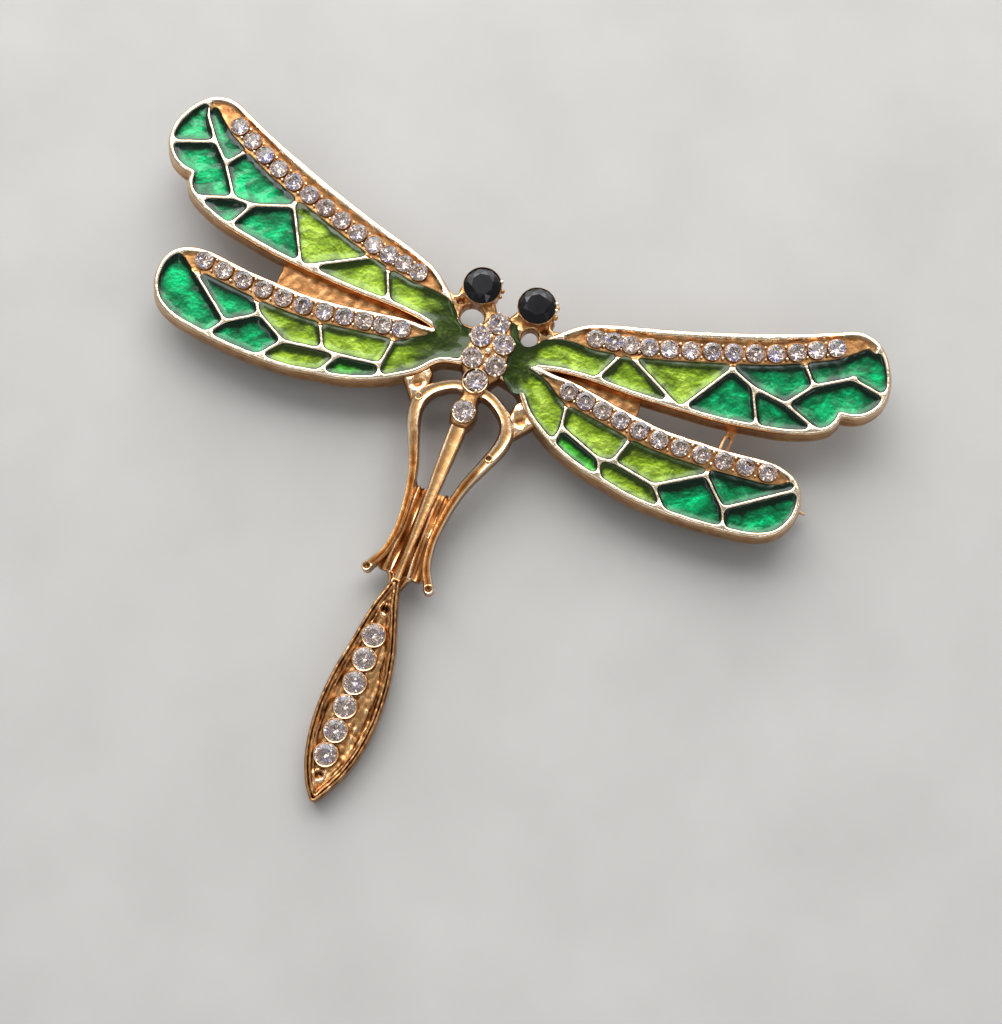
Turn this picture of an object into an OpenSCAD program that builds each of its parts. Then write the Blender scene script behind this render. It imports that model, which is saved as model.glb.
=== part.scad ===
// Dragonfly brooch: a cast metal frame with enamel cells, set stones and a hinged pin.
// The drawing frame has X to the wearer's right wing, Y towards the head and Z out of the front,
// with the flat back at Z = 0. The whole part is then laid on its back as it rests by itself.

/* [Fore wings] */
// Reach of a fore wing from the body's centre line to its tip
fore_reach = 44.4; // [38:0.2:52]
// Height of a fore wing's tip above the head line
fore_rise = 15; // [12:0.2:18]
// Stones along a fore wing's leading edge
fore_stones = 13; // [9:1:13]

/* [Hind wings] */
// Reach of a hind wing from the centre line to its tip
hind_reach = 39.2; // [34:0.2:46]
// Drop of a hind wing's trailing edge below the head line
hind_drop = 13.3; // [11.5:0.1:16]
// Stones along a hind wing's leading edge
hind_stones = 11; // [8:1:11]

/* [Casting] */
// Thickness of a wing from back to rim
wing_thick = 2.4; // [2:0.1:3]
// Width of the bright rim round the wings
rim_w = 0.65; // [0.5:0.05:1.1]
// Width of a wall between two enamel cells
wall_w = 0.46; // [0.3:0.02:0.7]
// How far the side walls flare out at the back
flare = 0.3; // [0:0.05:0.5]
// Thickness of the web between a fore and a hind wing
web_thick = 0.9; // [0.6:0.1:1.4]
// Thickness of the thorax
thorax_thick = 3; // [2.6:0.1:3.6]

/* [Enamel] */
// Depth of the cells below the rim
cell_depth = 1; // [0.6:0.05:1.3]
// How far the enamel lies below the rim
enamel_low = 0.2; // [0.1:0.05:0.4]
// Gap left round each enamel fill
enamel_gap = 0.03; // [0.02:0.01:0.06]
// Corner radius of the cells
cell_round = 0.3; // [0.15:0.05:0.45]

/* [Stones] */
// Diameter of a wing stone
wing_stone_d = 2.05; // [1.7:0.05:2.15]
// Metal between a wing stone and the enamel
seat_wall = 0.3; // [0.2:0.05:0.5]
// Diameter of the stones on the body and tail
body_stone_d = 2.4; // [2:0.05:2.45]
// Diameter of an eye stone
eye_d = 4.3; // [3.6:0.1:4.6]
// Clearance between a stone and its seat
seat_gap = 0.04; // [0.02:0.01:0.08]
// Stones down the tail
tail_stones = 6; // [4:1:6]

/* [Head and neck] */
// Distance of an eye from the centre line
eye_out = 3.35; // [3:0.05:3.8]
// Height of the eyes above the head line
eye_up = 3.9; // [3.7:0.1:4.6]
// Wall of an eye's cup
cup_wall = 0.3; // [0.2:0.05:0.5]
// Height of an eye's cup above the back
cup_h = 3.4; // [3:0.1:4]
// Diameter of the two round holes behind the eyes
head_hole_d = 2.4; // [1.6:0.1:2.6]
// Distance of the neck stone below the head line
neck_y = 10.5; // [10.2:0.1:11.5]
// Thickness of the legs, the neck bar and the skirt's ridges
leg_thick = 2.2; // [1.8:0.1:2.8]
// Distance of the feet below the head line
feet_y = 31.2; // [29:0.2:34]
// How far the feet spread from the centre line
feet_out = 4.2; // [3.2:0.1:5.5]

/* [Tail] */
// Distance of the tail's tip below the head line
tail_y = 56.8; // [52:0.2:64]
// Greatest half width of the tail
tail_half = 3.45; // [2.8:0.05:4.2]
// Thickness of the tail
tail_thick = 2.5; // [2.2:0.1:3.2]
// Width of the tail's rim
tail_rim = 0.55; // [0.4:0.05:0.8]
// Depth of the tail's hollow below its rim
tail_deep = 0.9; // [0.5:0.05:1.1]

/* [Pin] */
// Radius of the pin's stem
stem_r = 0.45; // [0.35:0.05:0.55]
// Depth of the stem's centre line behind the back
stem_drop = 2.1; // [2:0.1:2.4]
// Distance of the hinge to the left of the centre line
hinge_out = 24.3; // [20:0.1:25]
// Distance of the hinge below the head line
hinge_y = 0.6; // [0.2:0.1:1.2]
// Distance of the catch to the right of the centre line
catch_out = 28.8; // [27:0.1:31]
// Distance of the catch below the head line
catch_y = 5.5; // [5:0.1:6.5]
// How far the point stands out past the catch
point_past = 11.7; // [6:0.1:12.5]
// Length of the sharpened point
point_len = 4; // [2:0.5:6]
// Lean of the hinge's axis, so that the stem leaves the catch sideways
hinge_lean = 30; // [25:1:35]
// Radius of the rivet through the hinge
rivet_r = 0.4; // [0.3:0.05:0.45]
// Running clearance between the knuckle and the rivet
rivet_gap = 0.05; // [0.03:0.01:0.08]
// Radius of the stem's knuckle
knuckle_r = 1; // [0.85:0.05:1.1]
// Width of the knuckle between the ears
knuckle_w = 1.2; // [1:0.1:1.4]
// Thickness of an ear
ear_thick = 0.6; // [0.4:0.05:0.7]
// Gap between the knuckle and an ear
ear_gap = 0.12; // [0.08:0.02:0.16]
// Length of the stem's thicker root beside the knuckle
root_len = 2.2; // [1.8:0.1:3]
// Room between the stem and the catch's hook
hook_gap = 0.65; // [0.6:0.05:0.7]
// Thickness of the hook
hook_wall = 0.55; // [0.4:0.05:0.7]
// Width of the hook along the stem
hook_w = 1.3; // [1:0.1:1.8]

/* [Hidden] */
SIDES = ["left", "right"];
$fn = 24;
eps = 0.01;

GOLD = [0.86, 0.66, 0.36];
ROSE = [0.8, 0.56, 0.33];
EMERALD = [0, 0.5, 0.26];
GRASS = [0.3, 0.62, 0.14];
LIME = [0.56, 0.68, 0.16];
CRYSTAL = [0.9, 0.89, 0.93];
JET = [0.05, 0.05, 0.06];

// Fore wing outline from the head along the leading edge, round the tip to the notch.
// Columns: out, share of fore_reach; up, share of fore_rise.
FORE_LEAD = [
    [0.045, 0.02], [0.1, 0.08], [0.157, 0.16], [0.212, 0.285], [0.295, 0.375], [0.395, 0.46],
    [0.516, 0.575], [0.625, 0.69], [0.74, 0.82], [0.82, 0.925], [0.875, 0.99], [0.93, 0.965],
    [0.972, 0.84], [0.998, 0.66], [0.994, 0.49], [0.965, 0.365], [0.93, 0.312], [0.905, 0.3]
];
// Fore wing outline from the notch along the trailing edge back to the body, same columns.
FORE_TRAIL = [
    [0.902, 0.235], [0.885, 0.16], [0.845, 0.088], [0.785, 0.022], [0.706, -0.027], [0.605, -0.075],
    [0.495, -0.1], [0.385, -0.12], [0.27, -0.123], [0.19, -0.147], [0.13, -0.19], [0.05, -0.2]
];
// Lower edge of the stone band on a fore wing before and past its row of stones, same columns.
FORE_BAND_ROOT = [[0.06, -0.12], [0.105, 0.02], [0.15, 0.1], [0.187, 0.125]];
FORE_BAND_TIP = [[0.905, 0.89], [0.94, 1.05]];
// Middle line of the stones on a fore wing, from the tip to the root, same columns.
FORE_ROW = [[0.833, 0.8], [0.692, 0.59], [0.537, 0.428], [0.382, 0.285], [0.246, 0.202]];
// Points where the walls of a fore wing meet. The two wings were not cast quite alike.
// Columns: right wing's out and up, left wing's out and up, as shares of fore_reach and fore_rise.
FORE_KNOTS = [
    [0.935, 1.05, 0.932, 1.05],     // 0 tip wall, beyond the rim
    [0.924, 0.8, 0.924, 0.8],       // 1 bend of the tip wall
    [0.895, 0.615, 0.876, 0.62],    // 2 foot of the tip wall
    [1.03, 0.55, 1.02, 0.46],       // 3 beyond the rim
    [0.811, 0.455, 0.828, 0.48],    // 4 three walls meet
    [0.757, 0.64, 0.78, 0.675],     // 5 in the stone band
    [0.758, 0.245, 0.772, 0.245],   // 6 three walls meet
    [0.9, 0.09, 0.9, 0.11],         // 7 beyond the rim
    [0.665, 0.28, 0.716, 0.245],    // 8 head of the short curved wall
    [0.722, -0.08, 0.775, -0.1],    // 9 beyond the rim
    [0.6, 0.355, 0.616, 0.35],      // 10 two walls meet below the band
    [0.606, 0.47, 0.62, 0.47],      // 11 in the stone band
    [0.51, -0.08, 0.536, -0.08],    // 12 two walls reach the rim
    [0.312, 0.22, 0.335, 0.25],     // 13 in the stone band
    [0.335, 0.23, 0.336, 0.22],     // 14 in the stone band
    [0.268, -0.18, 0.275, -0.19]    // 15 beyond the rim
];
// Corners of each fore cell: numbers of knots, or a pair of shares for a corner off the wing.
FORE_CELLS = [
    [2, 1, 0, [1.1, 1.1], 3],
    [0, 1, 2, 4, 5, [0.74, 0.95]],
    [2, 3, [1.05, 0.2], 7, 6, 4],
    [4, 6, 8, 10, 11, [0.69, 0.85], 5],
    [6, 7, [0.86, -0.1], 9, 8],
    [8, 9, [0.63, -0.25], 12, 10],
    [11, 10, 12, 13, [0.45, 0.5]],
    [13, 12, [0.5, -0.3], 15, 14],
    [14, 15, [0.2, -0.35], [0.05, -0.25], [0.05, 0.3], [0.3, 0.35]]
];
// Finish of each fore cell
FORE_TINT = [EMERALD, EMERALD, EMERALD, EMERALD, EMERALD, EMERALD, LIME, LIME, LIME];

// Hind wing outline from the body along the leading edge, round the tip and back.
// Columns: out, share of hind_reach; down, share of hind_drop.
HIND_EDGE = [
    [0.06, 0.15], [0.13, 0.165], [0.19, 0.19], [0.26, 0.195], [0.31, 0.214], [0.37, 0.242],
    [0.425, 0.268], [0.49, 0.29], [0.554, 0.308], [0.617, 0.303], [0.68, 0.295], [0.75, 0.285],
    [0.815, 0.262], [0.875, 0.245], [0.925, 0.262], [0.968, 0.325], [0.995, 0.45], [0.998, 0.62],
    [0.978, 0.77], [0.945, 0.865], [0.89, 0.93], [0.8, 0.97], [0.71, 0.995], [0.62, 1], [0.53, 0.99],
    [0.445, 0.945], [0.365, 0.9], [0.28, 0.81], [0.215, 0.705], [0.165, 0.6], [0.12, 0.455], [0.05, 0.4]
];
// Lower edge of the stone band on a hind wing before and past its row of stones, same columns.
HIND_BAND_ROOT = [[0.02, 0.12], [0.08, 0.17], [0.13, 0.21], [0.19, 0.262]];
HIND_BAND_TIP = [[0.93, 0.38], [0.96, 0.25]];
// Middle line of the stones on a hind wing, from the tip to the root, same columns.
HIND_ROW = [[0.878, 0.348], [0.716, 0.395], [0.554, 0.412], [0.4, 0.36], [0.261, 0.297]];
// Points where the walls of a hind wing meet.
// Columns: right wing's out and down, left wing's out and down, as shares of hind_reach and hind_drop.
HIND_KNOTS = [
    [1, 0.34, 0.985, 0.26],         // 0 beyond the stone band
    [0.792, 0.775, 0.75, 0.785],    // 1 three walls meet
    [0.832, 1.06, 0.815, 1.06],     // 2 beyond the rim
    [0.715, 0.55, 0.664, 0.617],    // 3 three walls meet
    [0.722, 0.45, 0.714, 0.44],     // 4 in the stone band
    [0.584, 0.797, 0.569, 0.767],   // 5 three walls meet
    [0.673, 1.09, 0.652, 1.07],     // 6 beyond the rim
    [0.452, 0.73, 0.452, 0.715],    // 7 three walls meet
    [0.482, 0.44, 0.502, 0.44],     // 8 in the stone band
    [0.41, 0.752, 0.402, 0.708],    // 9 three walls meet
    [0.457, 1.07, 0.467, 1.05],     // 10 beyond the rim
    [0.278, 0.61, 0.28, 0.655],     // 11 three walls meet
    [0.263, 0.3, 0.265, 0.3],       // 12 in the stone band
    [0.265, 0.94, 0.265, 0.9]       // 13 beyond the rim
];
// Corners of each hind cell: numbers of knots, or a pair of shares for a corner off the wing.
HIND_CELLS = [
    [0, 1, 2, [1.1, 1.2], [1.1, 0.2]],
    [0, 1, 3, 4, [0.85, 0.2]],
    [1, 2, [0.74, 1.2], 6, 5, 3],
    [4, 3, 5, 7, 8, [0.6, 0.4]],
    [5, 6, [0.56, 1.2], 10, 9, 7],
    [8, 7, 9, 11, 12, [0.38, 0.3]],
    [9, 10, [0.36, 1.1], 13, 11],
    [12, 11, 13, [0.1, 0.9], [0.04, 0.4], [0.06, 0.1]]
];
// Finish of each hind cell
HIND_TINT = [EMERALD, EMERALD, EMERALD, LIME, LIME, LIME, GRASS, LIME];

// Body outline. Columns: down, share of neck_y; half width, as a multiple of body_stone_d.
BODY_ROWS = [
    [-0.18, 0.3], [-0.14, 0.52], [-0.05, 0.66], [0.05, 0.9], [0.16, 1.04], [0.28, 1.08], [0.42, 1.06],
    [0.52, 0.98], [0.62, 0.68], [0.72, 0.6], [0.82, 0.4], [0.9, 0.5], [1, 0.62], [1.1, 0.55], [1.17, 0.36]
];
// Thorax stones. Columns: out, as a multiple of body_stone_d; down, share of neck_y.
THORAX_STONES = [[0, -0.045], [-0.58, 0.153], [0.58, 0.153], [-0.58, 0.41], [0.58, 0.41], [0, 0.64]];
// Middle line of a leg, from the neck over the arch and down to the foot.
// Columns: out, share of feet_out; down, share of feet_y; half width, share of leg_thick.
LEG_ROWS = [
    [0.1, 0.248, 0.3], [0.42, 0.246, 0.28], [0.76, 0.266, 0.28], [1.08, 0.302, 0.3], [1.27, 0.352, 0.35],
    [1.23, 0.415, 0.33], [1.02, 0.49, 0.28], [0.77, 0.575, 0.24], [0.61, 0.66, 0.21], [0.52, 0.75, 0.19],
    [0.5, 0.835, 0.19], [0.61, 0.915, 0.2], [0.88, 0.985, 0.24]
];
// Web between the arch of a leg and the hind wing. Columns: out, share of feet_out; down, share of feet_y.
TIE_EDGE = [[1.17, 0.31], [1.19, 0.237], [1.33, 0.218], [1.95, 0.285], [1.81, 0.308], [1.48, 0.362]];
// Middle bar from the neck to the tail. Columns: down, share of feet_y; half width, share of leg_thick.
BAR_ROWS = [[0.36, 0.42], [0.42, 0.41], [0.52, 0.33], [0.64, 0.25], [0.8, 0.2], [0.94, 0.18], [1.06, 0.2]];
// Edge of the skirt between the legs. Columns: out, share of feet_out; down, share of feet_y.
SKIRT_ROWS = [
    [0.52, 0.65], [0.5, 0.75], [0.5, 0.84], [0.58, 0.91], [0.62, 0.97], [0.42, 0.97], [0.27, 0.99], [0.18, 1.03]
];
// Tail outline. Columns: place from root to tip, share of the tail's length;
// half width, share of tail_half; how far its middle leans to the right, share of tail_half.
TAIL_ROWS = [
    [0, 0.14, 0], [0.05, 0.22, 0], [0.13, 0.4, 0], [0.22, 0.58, 0.05], [0.33, 0.77, 0.12],
    [0.46, 0.94, 0.14], [0.6, 1, 0.14], [0.73, 0.92, 0.13], [0.84, 0.72, 0.12], [0.92, 0.46, 0.12],
    [0.97, 0.24, 0.14], [1, 0.06, 0.15]
];

rim_z = wing_thick;
cell_z = wing_thick - cell_depth;
wing_stone_z = wing_thick + 0.05;
tail_top_z = wing_thick;
tail_back_z = tail_top_z - tail_thick;
tail_floor_z = tail_top_z - tail_deep;
tail_root_y = 0.99 * feet_y;
tail_len = tail_y - tail_root_y;
tail_first = 0.262;
tail_last = 0.8;
thorax_z = thorax_thick;
eye_z = cup_h - 0.1;
leg_z = 0.1;
hole_out = eye_out + 0.15;
hole_y = eye_up - cup_wall - eye_d / 2 - head_hole_d / 2;

// Angles and lengths of the pin, seen from the front
pin_run = catch_out + hinge_out;
pin_fall = catch_y - hinge_y;
skew = -atan2(pin_fall, pin_run);
catch_at = norm([pin_run, pin_fall]);
stem_len = catch_at + point_past;
hook_in = stem_r + hook_gap;
hook_out = hook_in + hook_wall;
hook_end = 260;

// The part rests on its hinge, its catch and the tip of its tail.
low_y = catch_y - hook_out * cos(hook_end);
low_z = stem_drop - hook_out * sin(hook_end);
lie = atan2(low_z + tail_back_z, tail_y - low_y);
hinge_h = (low_z + (low_y - hinge_y) * tan(lie) - stem_drop) * cos(lie);
ear_out = knuckle_w / 2 + ear_gap + ear_thick;
ear_r = (hinge_h - ear_out * sin(hinge_lean + lie)) / cos(hinge_lean + lie);
lift = tail_y * sin(lie) - tail_back_z * cos(lie);

// Smooth curve through the points p, with n steps between two points
function bend(a, b, c, d, t) =
    0.5 * (2 * b + (c - a) * t + (2 * a - 5 * b + 4 * c - d) * t * t + (3 * b - a - 3 * c + d) * t * t * t);
function before(p, i) = i > 0 ? p[i - 1] : 2 * p[0] - p[1];
function after(p, i) = i < len(p) ? p[i] : 2 * p[i - 1] - p[i - 2];
function on_curve(p, i, t) = bend(before(p, i), p[i], p[i + 1], after(p, i + 2), t);
function curve(p, n) =
    concat([for (i = [0:len(p) - 2]) for (k = [0:n - 1]) on_curve(p, i, k / n)], [p[len(p) - 1]]);
// Point at the share u of the curve through p
function along(p, u) =
    let (s = u * (len(p) - 1), i = min(floor(s), len(p) - 2)) on_curve(p, i, s - i);
function scaled(p, w, h) = [for (q = p) [q[0] * w, q[1] * h]];
function back(p) = [for (i = [len(p) - 1:-1:0]) p[i]];

function fore(p) = scaled(p, fore_reach, fore_rise);
function hind(p) = scaled(p, hind_reach, -hind_drop);
// Corner k of a cell: a knot's place on this side of the brooch, or the pair of shares itself
function knot(k, knots, side) =
    is_list(k) ? k : side == "right" ? [knots[k][0], knots[k][1]] : [knots[k][2], knots[k][3]];
function corners(cell, knots, side) = [for (k = cell) knot(k, knots, side)];

fore_outline = concat(curve(fore(FORE_LEAD), 3), curve(fore(FORE_TRAIL), 3));
hind_outline = curve(hind(HIND_EDGE), 3);
fore_top = max([for (q = fore_outline) q[1]]);
fore_row = [for (i = [0:fore_stones - 1]) along(fore(FORE_ROW), i / (fore_stones - 1))];
hind_row = [for (i = [0:hind_stones - 1]) along(hind(HIND_ROW), i / (hind_stones - 1))];
thorax_spots = [for (q = THORAX_STONES) [q[0] * body_stone_d, -q[1] * neck_y]];
tail_spots = [for (i = [0:tail_stones - 1])
    [0, -tail_root_y - tail_len * (tail_first + (tail_last - tail_first) * i / (tail_stones - 1))]];

mid_y = ((fore_top + flare) * cos(lie) - tail_y * cos(lie) - tail_top_z * sin(lie)) / 2;

// Ribbon round a middle line whose rows are x, y and half width
function turn(p, i) =
    let (d = p[min(i + 1, len(p) - 1)] - p[max(i - 1, 0)], n = norm([d[0], d[1]])) [-d[1], d[0]] / n;
function edge(p, s) = [for (i = [0:len(p) - 1]) [p[i][0], p[i][1]] + s * p[i][2] * turn(p, i)];
function ribbon(p) = concat(edge(p, 1), back(edge(p, -1)));
// Lower edge of the metal under a row of stones; the cells are drawn back from it by half a wall
function beside(row) = back(edge([for (q = row) [q[0], q[1], (wing_stone_d - wall_w) / 2 + seat_wall]], 1));

fore_band = concat(fore(FORE_BAND_ROOT), beside(fore_row), fore(FORE_BAND_TIP));
hind_band = concat(hind(HIND_BAND_ROOT), beside(hind_row), hind(HIND_BAND_TIP));

leg_line = curve([for (q = LEG_ROWS) [q[0] * feet_out, -q[1] * feet_y, q[2] * leg_thick]], 3);
foot = leg_line[len(leg_line) - 1];
bar_line = curve([for (q = BAR_ROWS) [0, -q[0] * feet_y, q[1] * leg_thick]], 3);
tail_line = curve(
    [for (q = TAIL_ROWS) [q[2] * tail_half, -tail_root_y - q[0] * tail_len, q[1] * tail_half]], 3);

// Lays the brooch on its back: the tail's tip, the hinge and the catch touch Z = 0
module laid() translate([0, -mid_y, lift]) rotate([lie, 0, 0]) children();

module on_side(side) mirror([side == "left" ? 1 : 0, 0, 0]) children();
module both() for (side = SIDES) on_side(side) children();

// Prism of a flat shape whose lower half flares out towards the back
module flared(low, high) {
    middle = (low + high) / 2;
    translate([0, 0, low]) linear_extrude(middle - low + eps) offset(delta = flare) children();
    translate([0, 0, middle]) linear_extrude(high - middle) children();
}

module fore_shape() polygon(fore_outline);
module hind_shape() polygon(hind_outline);
module body_shape() polygon(ribbon(curve([for (q = BODY_ROWS) [0, -q[0] * neck_y, q[1] * body_stone_d]], 3)));

// Space of a wing that may hold enamel: inside the rim, below the stone band, clear of the body
module fore_field() difference() {
    intersection() {
        offset(delta = wall_w / 2 - rim_w) fore_shape();
        polygon(concat(curve(fore_band, 3), fore([[1.3, 1.3], [1.3, -1], [0.06, -1]])));
    }
    body_shape();
    translate([hole_out, hole_y]) circle(d = head_hole_d + 0.6);
}
module hind_field() difference() {
    intersection() {
        offset(delta = wall_w / 2 - rim_w) hind_shape();
        polygon(concat(curve(hind_band, 3), hind([[1.3, 0.2], [1.3, 1.5], [0.02, 1.5]])));
    }
    body_shape();
}

// Flat shape of one cell, drawn back by half a wall and by the gap, with rounded corners
module cell_shape(points, gap)
    offset(r = cell_round) offset(delta = -wall_w / 2 - cell_round - gap) intersection() {
        children();
        polygon(points);
    }
module fore_cell(side, i, gap = 0)
    cell_shape(fore(corners(FORE_CELLS[i], FORE_KNOTS, side)), gap) fore_field();
module hind_cell(side, i, gap = 0)
    cell_shape(hind(corners(HIND_CELLS[i], HIND_KNOTS, side)), gap) hind_field();

module pocket() translate([0, 0, cell_z]) linear_extrude(cell_depth + 1) children();
module fill() translate([0, 0, cell_z + enamel_gap])
    linear_extrude(cell_depth - enamel_gap - enamel_low) children();

module web() linear_extrude(web_thick) polygon([
    [0, 0], [1.07 * hinge_out, -0.02 * fore_rise], [1.07 * hinge_out, -0.36 * hind_drop],
    [0.4 * hinge_out, -0.3 * hind_drop], [0, -0.3 * hind_drop]
]);
module short_web() linear_extrude(web_thick) polygon([
    [0, 0], [0.41 * fore_reach, 0], [0.42 * fore_reach, -0.36 * hind_drop], [0, -0.3 * hind_drop]
]);

module head() {
    both() {
        translate([eye_out, eye_up, 0.4]) cylinder(h = cup_h - 0.4, d = eye_d + 2 * cup_wall, $fn = 48);
        translate([hole_out, hole_y, 0.4]) cylinder(h = wing_thick - 0.5, d = head_hole_d + 1.3);
        translate([0, 0, 0.4]) linear_extrude(wing_thick - 0.5) polygon([
            [0.2 * eye_out, eye_up - 0.75 * eye_d], [eye_out - 0.35 * eye_d, eye_up - 0.1 * eye_d],
            [eye_out + 0.45 * eye_d, eye_up - 0.1 * eye_d], [0.14 * fore_reach, 0.1 * fore_rise],
            [0.12 * fore_reach, -0.1 * fore_rise], [0, -0.1 * fore_rise]
        ]);
    }
}

module thorax() {
    linear_extrude(thorax_z - 0.4) body_shape();
    for (p = concat(thorax_spots, [[0, -neck_y]]))
        translate([p[0], p[1], eps]) cylinder(h = thorax_z - 2 * eps, d = body_stone_d + 0.36);
    translate([0, -0.288 * neck_y, thorax_z / 2]) cylinder(h = thorax_z / 2 + 0.35, r = 0.42);
}

// A leg with its ridge, the web that ties it to the hind wing and the round end of the foot
module leg() {
    translate([0, 0, leg_z]) linear_extrude(leg_thick - 0.5) polygon(ribbon(leg_line));
    translate([0, 0, leg_z + leg_thick - 0.5 - eps]) linear_extrude(0.5)
        polygon(ribbon([for (q = leg_line) [q[0], q[1], 0.6 * q[2]]]));
    translate([0, 0, 0.2]) linear_extrude(wing_thick - 0.5)
        polygon([for (q = TIE_EDGE) [q[0] * feet_out, -q[1] * feet_y]]);
    difference() {
        translate([foot[0], foot[1], leg_z]) cylinder(h = leg_thick - 0.3, r = 0.3 * leg_thick);
        translate([foot[0], foot[1], leg_thick - 0.5]) cylinder(h = 0.4, r1 = 0.1, r2 = 0.42);
    }
}

module middle_bar() {
    translate([0, 0, leg_z]) linear_extrude(leg_thick - 0.4) polygon(ribbon(bar_line));
    translate([0, 0, leg_z + leg_thick - 0.4 - eps]) linear_extrude(0.4)
        polygon(ribbon([for (q = bar_line) [q[0], q[1], 0.7 * q[2]]]));
}

module skirt() {
    half = [for (q = SKIRT_ROWS) [q[0] * feet_out, -q[1] * feet_y]];
    translate([0, 0, leg_z + 0.2]) linear_extrude(leg_thick / 2)
        polygon(concat(half, back([for (q = half) [-q[0], q[1]]])));
}

module tail_shape() polygon(ribbon(tail_line));
module tail() {
    difference() {
        translate([0, 0, tail_back_z]) linear_extrude(tail_thick) tail_shape();
        translate([0, 0, tail_floor_z]) linear_extrude(tail_deep + 1) offset(delta = -tail_rim) tail_shape();
    }
    for (p = tail_spots)
        translate([p[0], p[1], tail_floor_z - 0.3]) cylinder(h = tail_deep + 0.25, d = body_stone_d + 0.36);
}

// Frame of the pin: X along the stem from the hinge to the catch, Z out of the front
module at_hinge() translate([-hinge_out, -hinge_y, -stem_drop]) rotate([0, 0, skew]) children();
// Z runs along the hinge's axis, Y up towards the back of the wing
module on_axis() rotate([hinge_lean, 0, 0]) rotate([-90, 0, 0]) mirror([0, 1, 0]) children();

ear_room = 6 * ear_out;
module hinge_ears() at_hinge() intersection() {
    on_axis() for (s = [-1, 1]) translate([0, 0, s * (ear_out - ear_thick / 2)])
        difference() {
            translate([0, 0, -ear_thick / 2]) union() {
                cylinder(h = ear_thick, r = ear_r, $fn = 48);
                translate([-ear_r, 0, 0]) cube([2 * ear_r, 2 * stem_drop, ear_thick]);
            }
            translate([0, 0, -ear_thick]) cylinder(h = 2 * ear_thick, r = rivet_r);
        }
    translate([-ear_room, -ear_room, -ear_room])
        cube([2 * ear_room, 2 * ear_room, ear_room + stem_drop + 0.3]);
}

// Looped strip across the gap between the wings, with the open hook under it
module catch() {
    reach = catch_y - 0.2;
    translate([-hinge_out, -hinge_y, -stem_drop]) rotate([0, 0, skew]) translate([catch_at, 0, 0]) {
        translate([-hook_w / 2, 0, 0]) rotate([90, 0, 90]) {
            rotate([0, 0, 90]) rotate_extrude(angle = hook_end - 90, $fn = 48)
                translate([hook_in, 0]) square([hook_wall, hook_w]);
            translate([-hook_out, 0.3, 0]) cube([hook_out, stem_drop - 0.1, hook_w]);
        }
        difference() {
            translate([-hook_w / 2, -hook_out, stem_drop - 0.6]) cube([hook_w, reach + hook_out, 0.6 + 0.3]);
            translate([-hook_w / 4, 0.35 * reach, 0]) cube([hook_w / 2, 0.4 * reach, 2 * stem_drop]);
        }
    }
}
// Room for the stem inside the catch, where the strip's riser would reach it
module catch_room() translate([-hinge_out, -hinge_y, -stem_drop]) rotate([0, 0, skew])
    translate([catch_at - hook_w, 0, 0]) rotate([90, 0, 90]) cylinder(h = 2 * hook_w, r = hook_in, $fn = 48);

module seat(p, z, d, depth) translate([p[0], p[1], z - depth])
    cylinder(h = depth + d, d = d + 2 * seat_gap);

module casting() color(GOLD) laid() difference() {
    union() {
        both() {
            flared(0, rim_z) fore_shape();
            flared(0, rim_z) hind_shape();
            leg();
        }
        mirror([1, 0, 0]) web();
        short_web();
        head();
        thorax();
        middle_bar();
        skirt();
        tail();
        hinge_ears();
        catch();
    }
    for (side = SIDES) on_side(side) {
        for (i = [0:len(FORE_CELLS) - 1]) pocket() fore_cell(side, i);
        for (i = [0:len(HIND_CELLS) - 1]) pocket() hind_cell(side, i);
        for (p = fore_row) seat(p, wing_stone_z, wing_stone_d, pavilion * wing_stone_d + seat_gap);
        for (p = hind_row) seat(p, wing_stone_z, wing_stone_d, pavilion * wing_stone_d + seat_gap);
        seat([eye_out, eye_up], eye_z, eye_d, pavilion * eye_d + seat_gap);
        translate([hole_out, hole_y, -1]) cylinder(h = cup_h + 1, d = head_hole_d);
    }
    for (p = concat(thorax_spots, [[0, -neck_y]]))
        seat(p, thorax_z, body_stone_d, pavilion * body_stone_d + seat_gap);
    for (p = tail_spots) seat(p, tail_top_z, body_stone_d, pavilion * body_stone_d + seat_gap);
    catch_room();
}

// Cut stone: an eight-sided table, a crown of facets, a girdle and a pointed pavilion.
// All heights are shares of the stone's diameter.
table_share = 0.58;
crown = 0.15;
girdle = 0.03;
pavilion = 0.42;
module stone(d) {
    r = d / 2;
    n = 16;
    top = [for (i = [0:7]) [r * table_share * cos(45 * i), r * table_share * sin(45 * i), crown * d]];
    upper = [for (i = [0:n - 1]) [r * cos(22.5 * i), r * sin(22.5 * i), 0]];
    lower = [for (i = [0:n - 1]) [r * cos(22.5 * i), r * sin(22.5 * i), -girdle * d]];
    culet = [[0, 0, -pavilion * d]];
    u = 8;
    w = 8 + n;
    c = 8 + 2 * n;
    polyhedron(
        points = concat(top, upper, lower, culet),
        faces = concat(
            [[7, 6, 5, 4, 3, 2, 1, 0]],
            [for (i = [0:7]) [i, (i + 1) % 8, u + 2 * i + 1]],
            [for (i = [0:7]) [i, u + 2 * i + 1, u + 2 * i]],
            [for (i = [0:7]) [(i + 1) % 8, u + (2 * i + 2) % n, u + 2 * i + 1]],
            [for (i = [0:n - 1]) [u + i, u + (i + 1) % n, w + (i + 1) % n, w + i]],
            [for (i = [0:n - 1]) [w + i, w + (i + 1) % n, c]]
        )
    );
}
module stone_at(p, z, d) translate([p[0], p[1], z]) stone(d);

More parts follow.
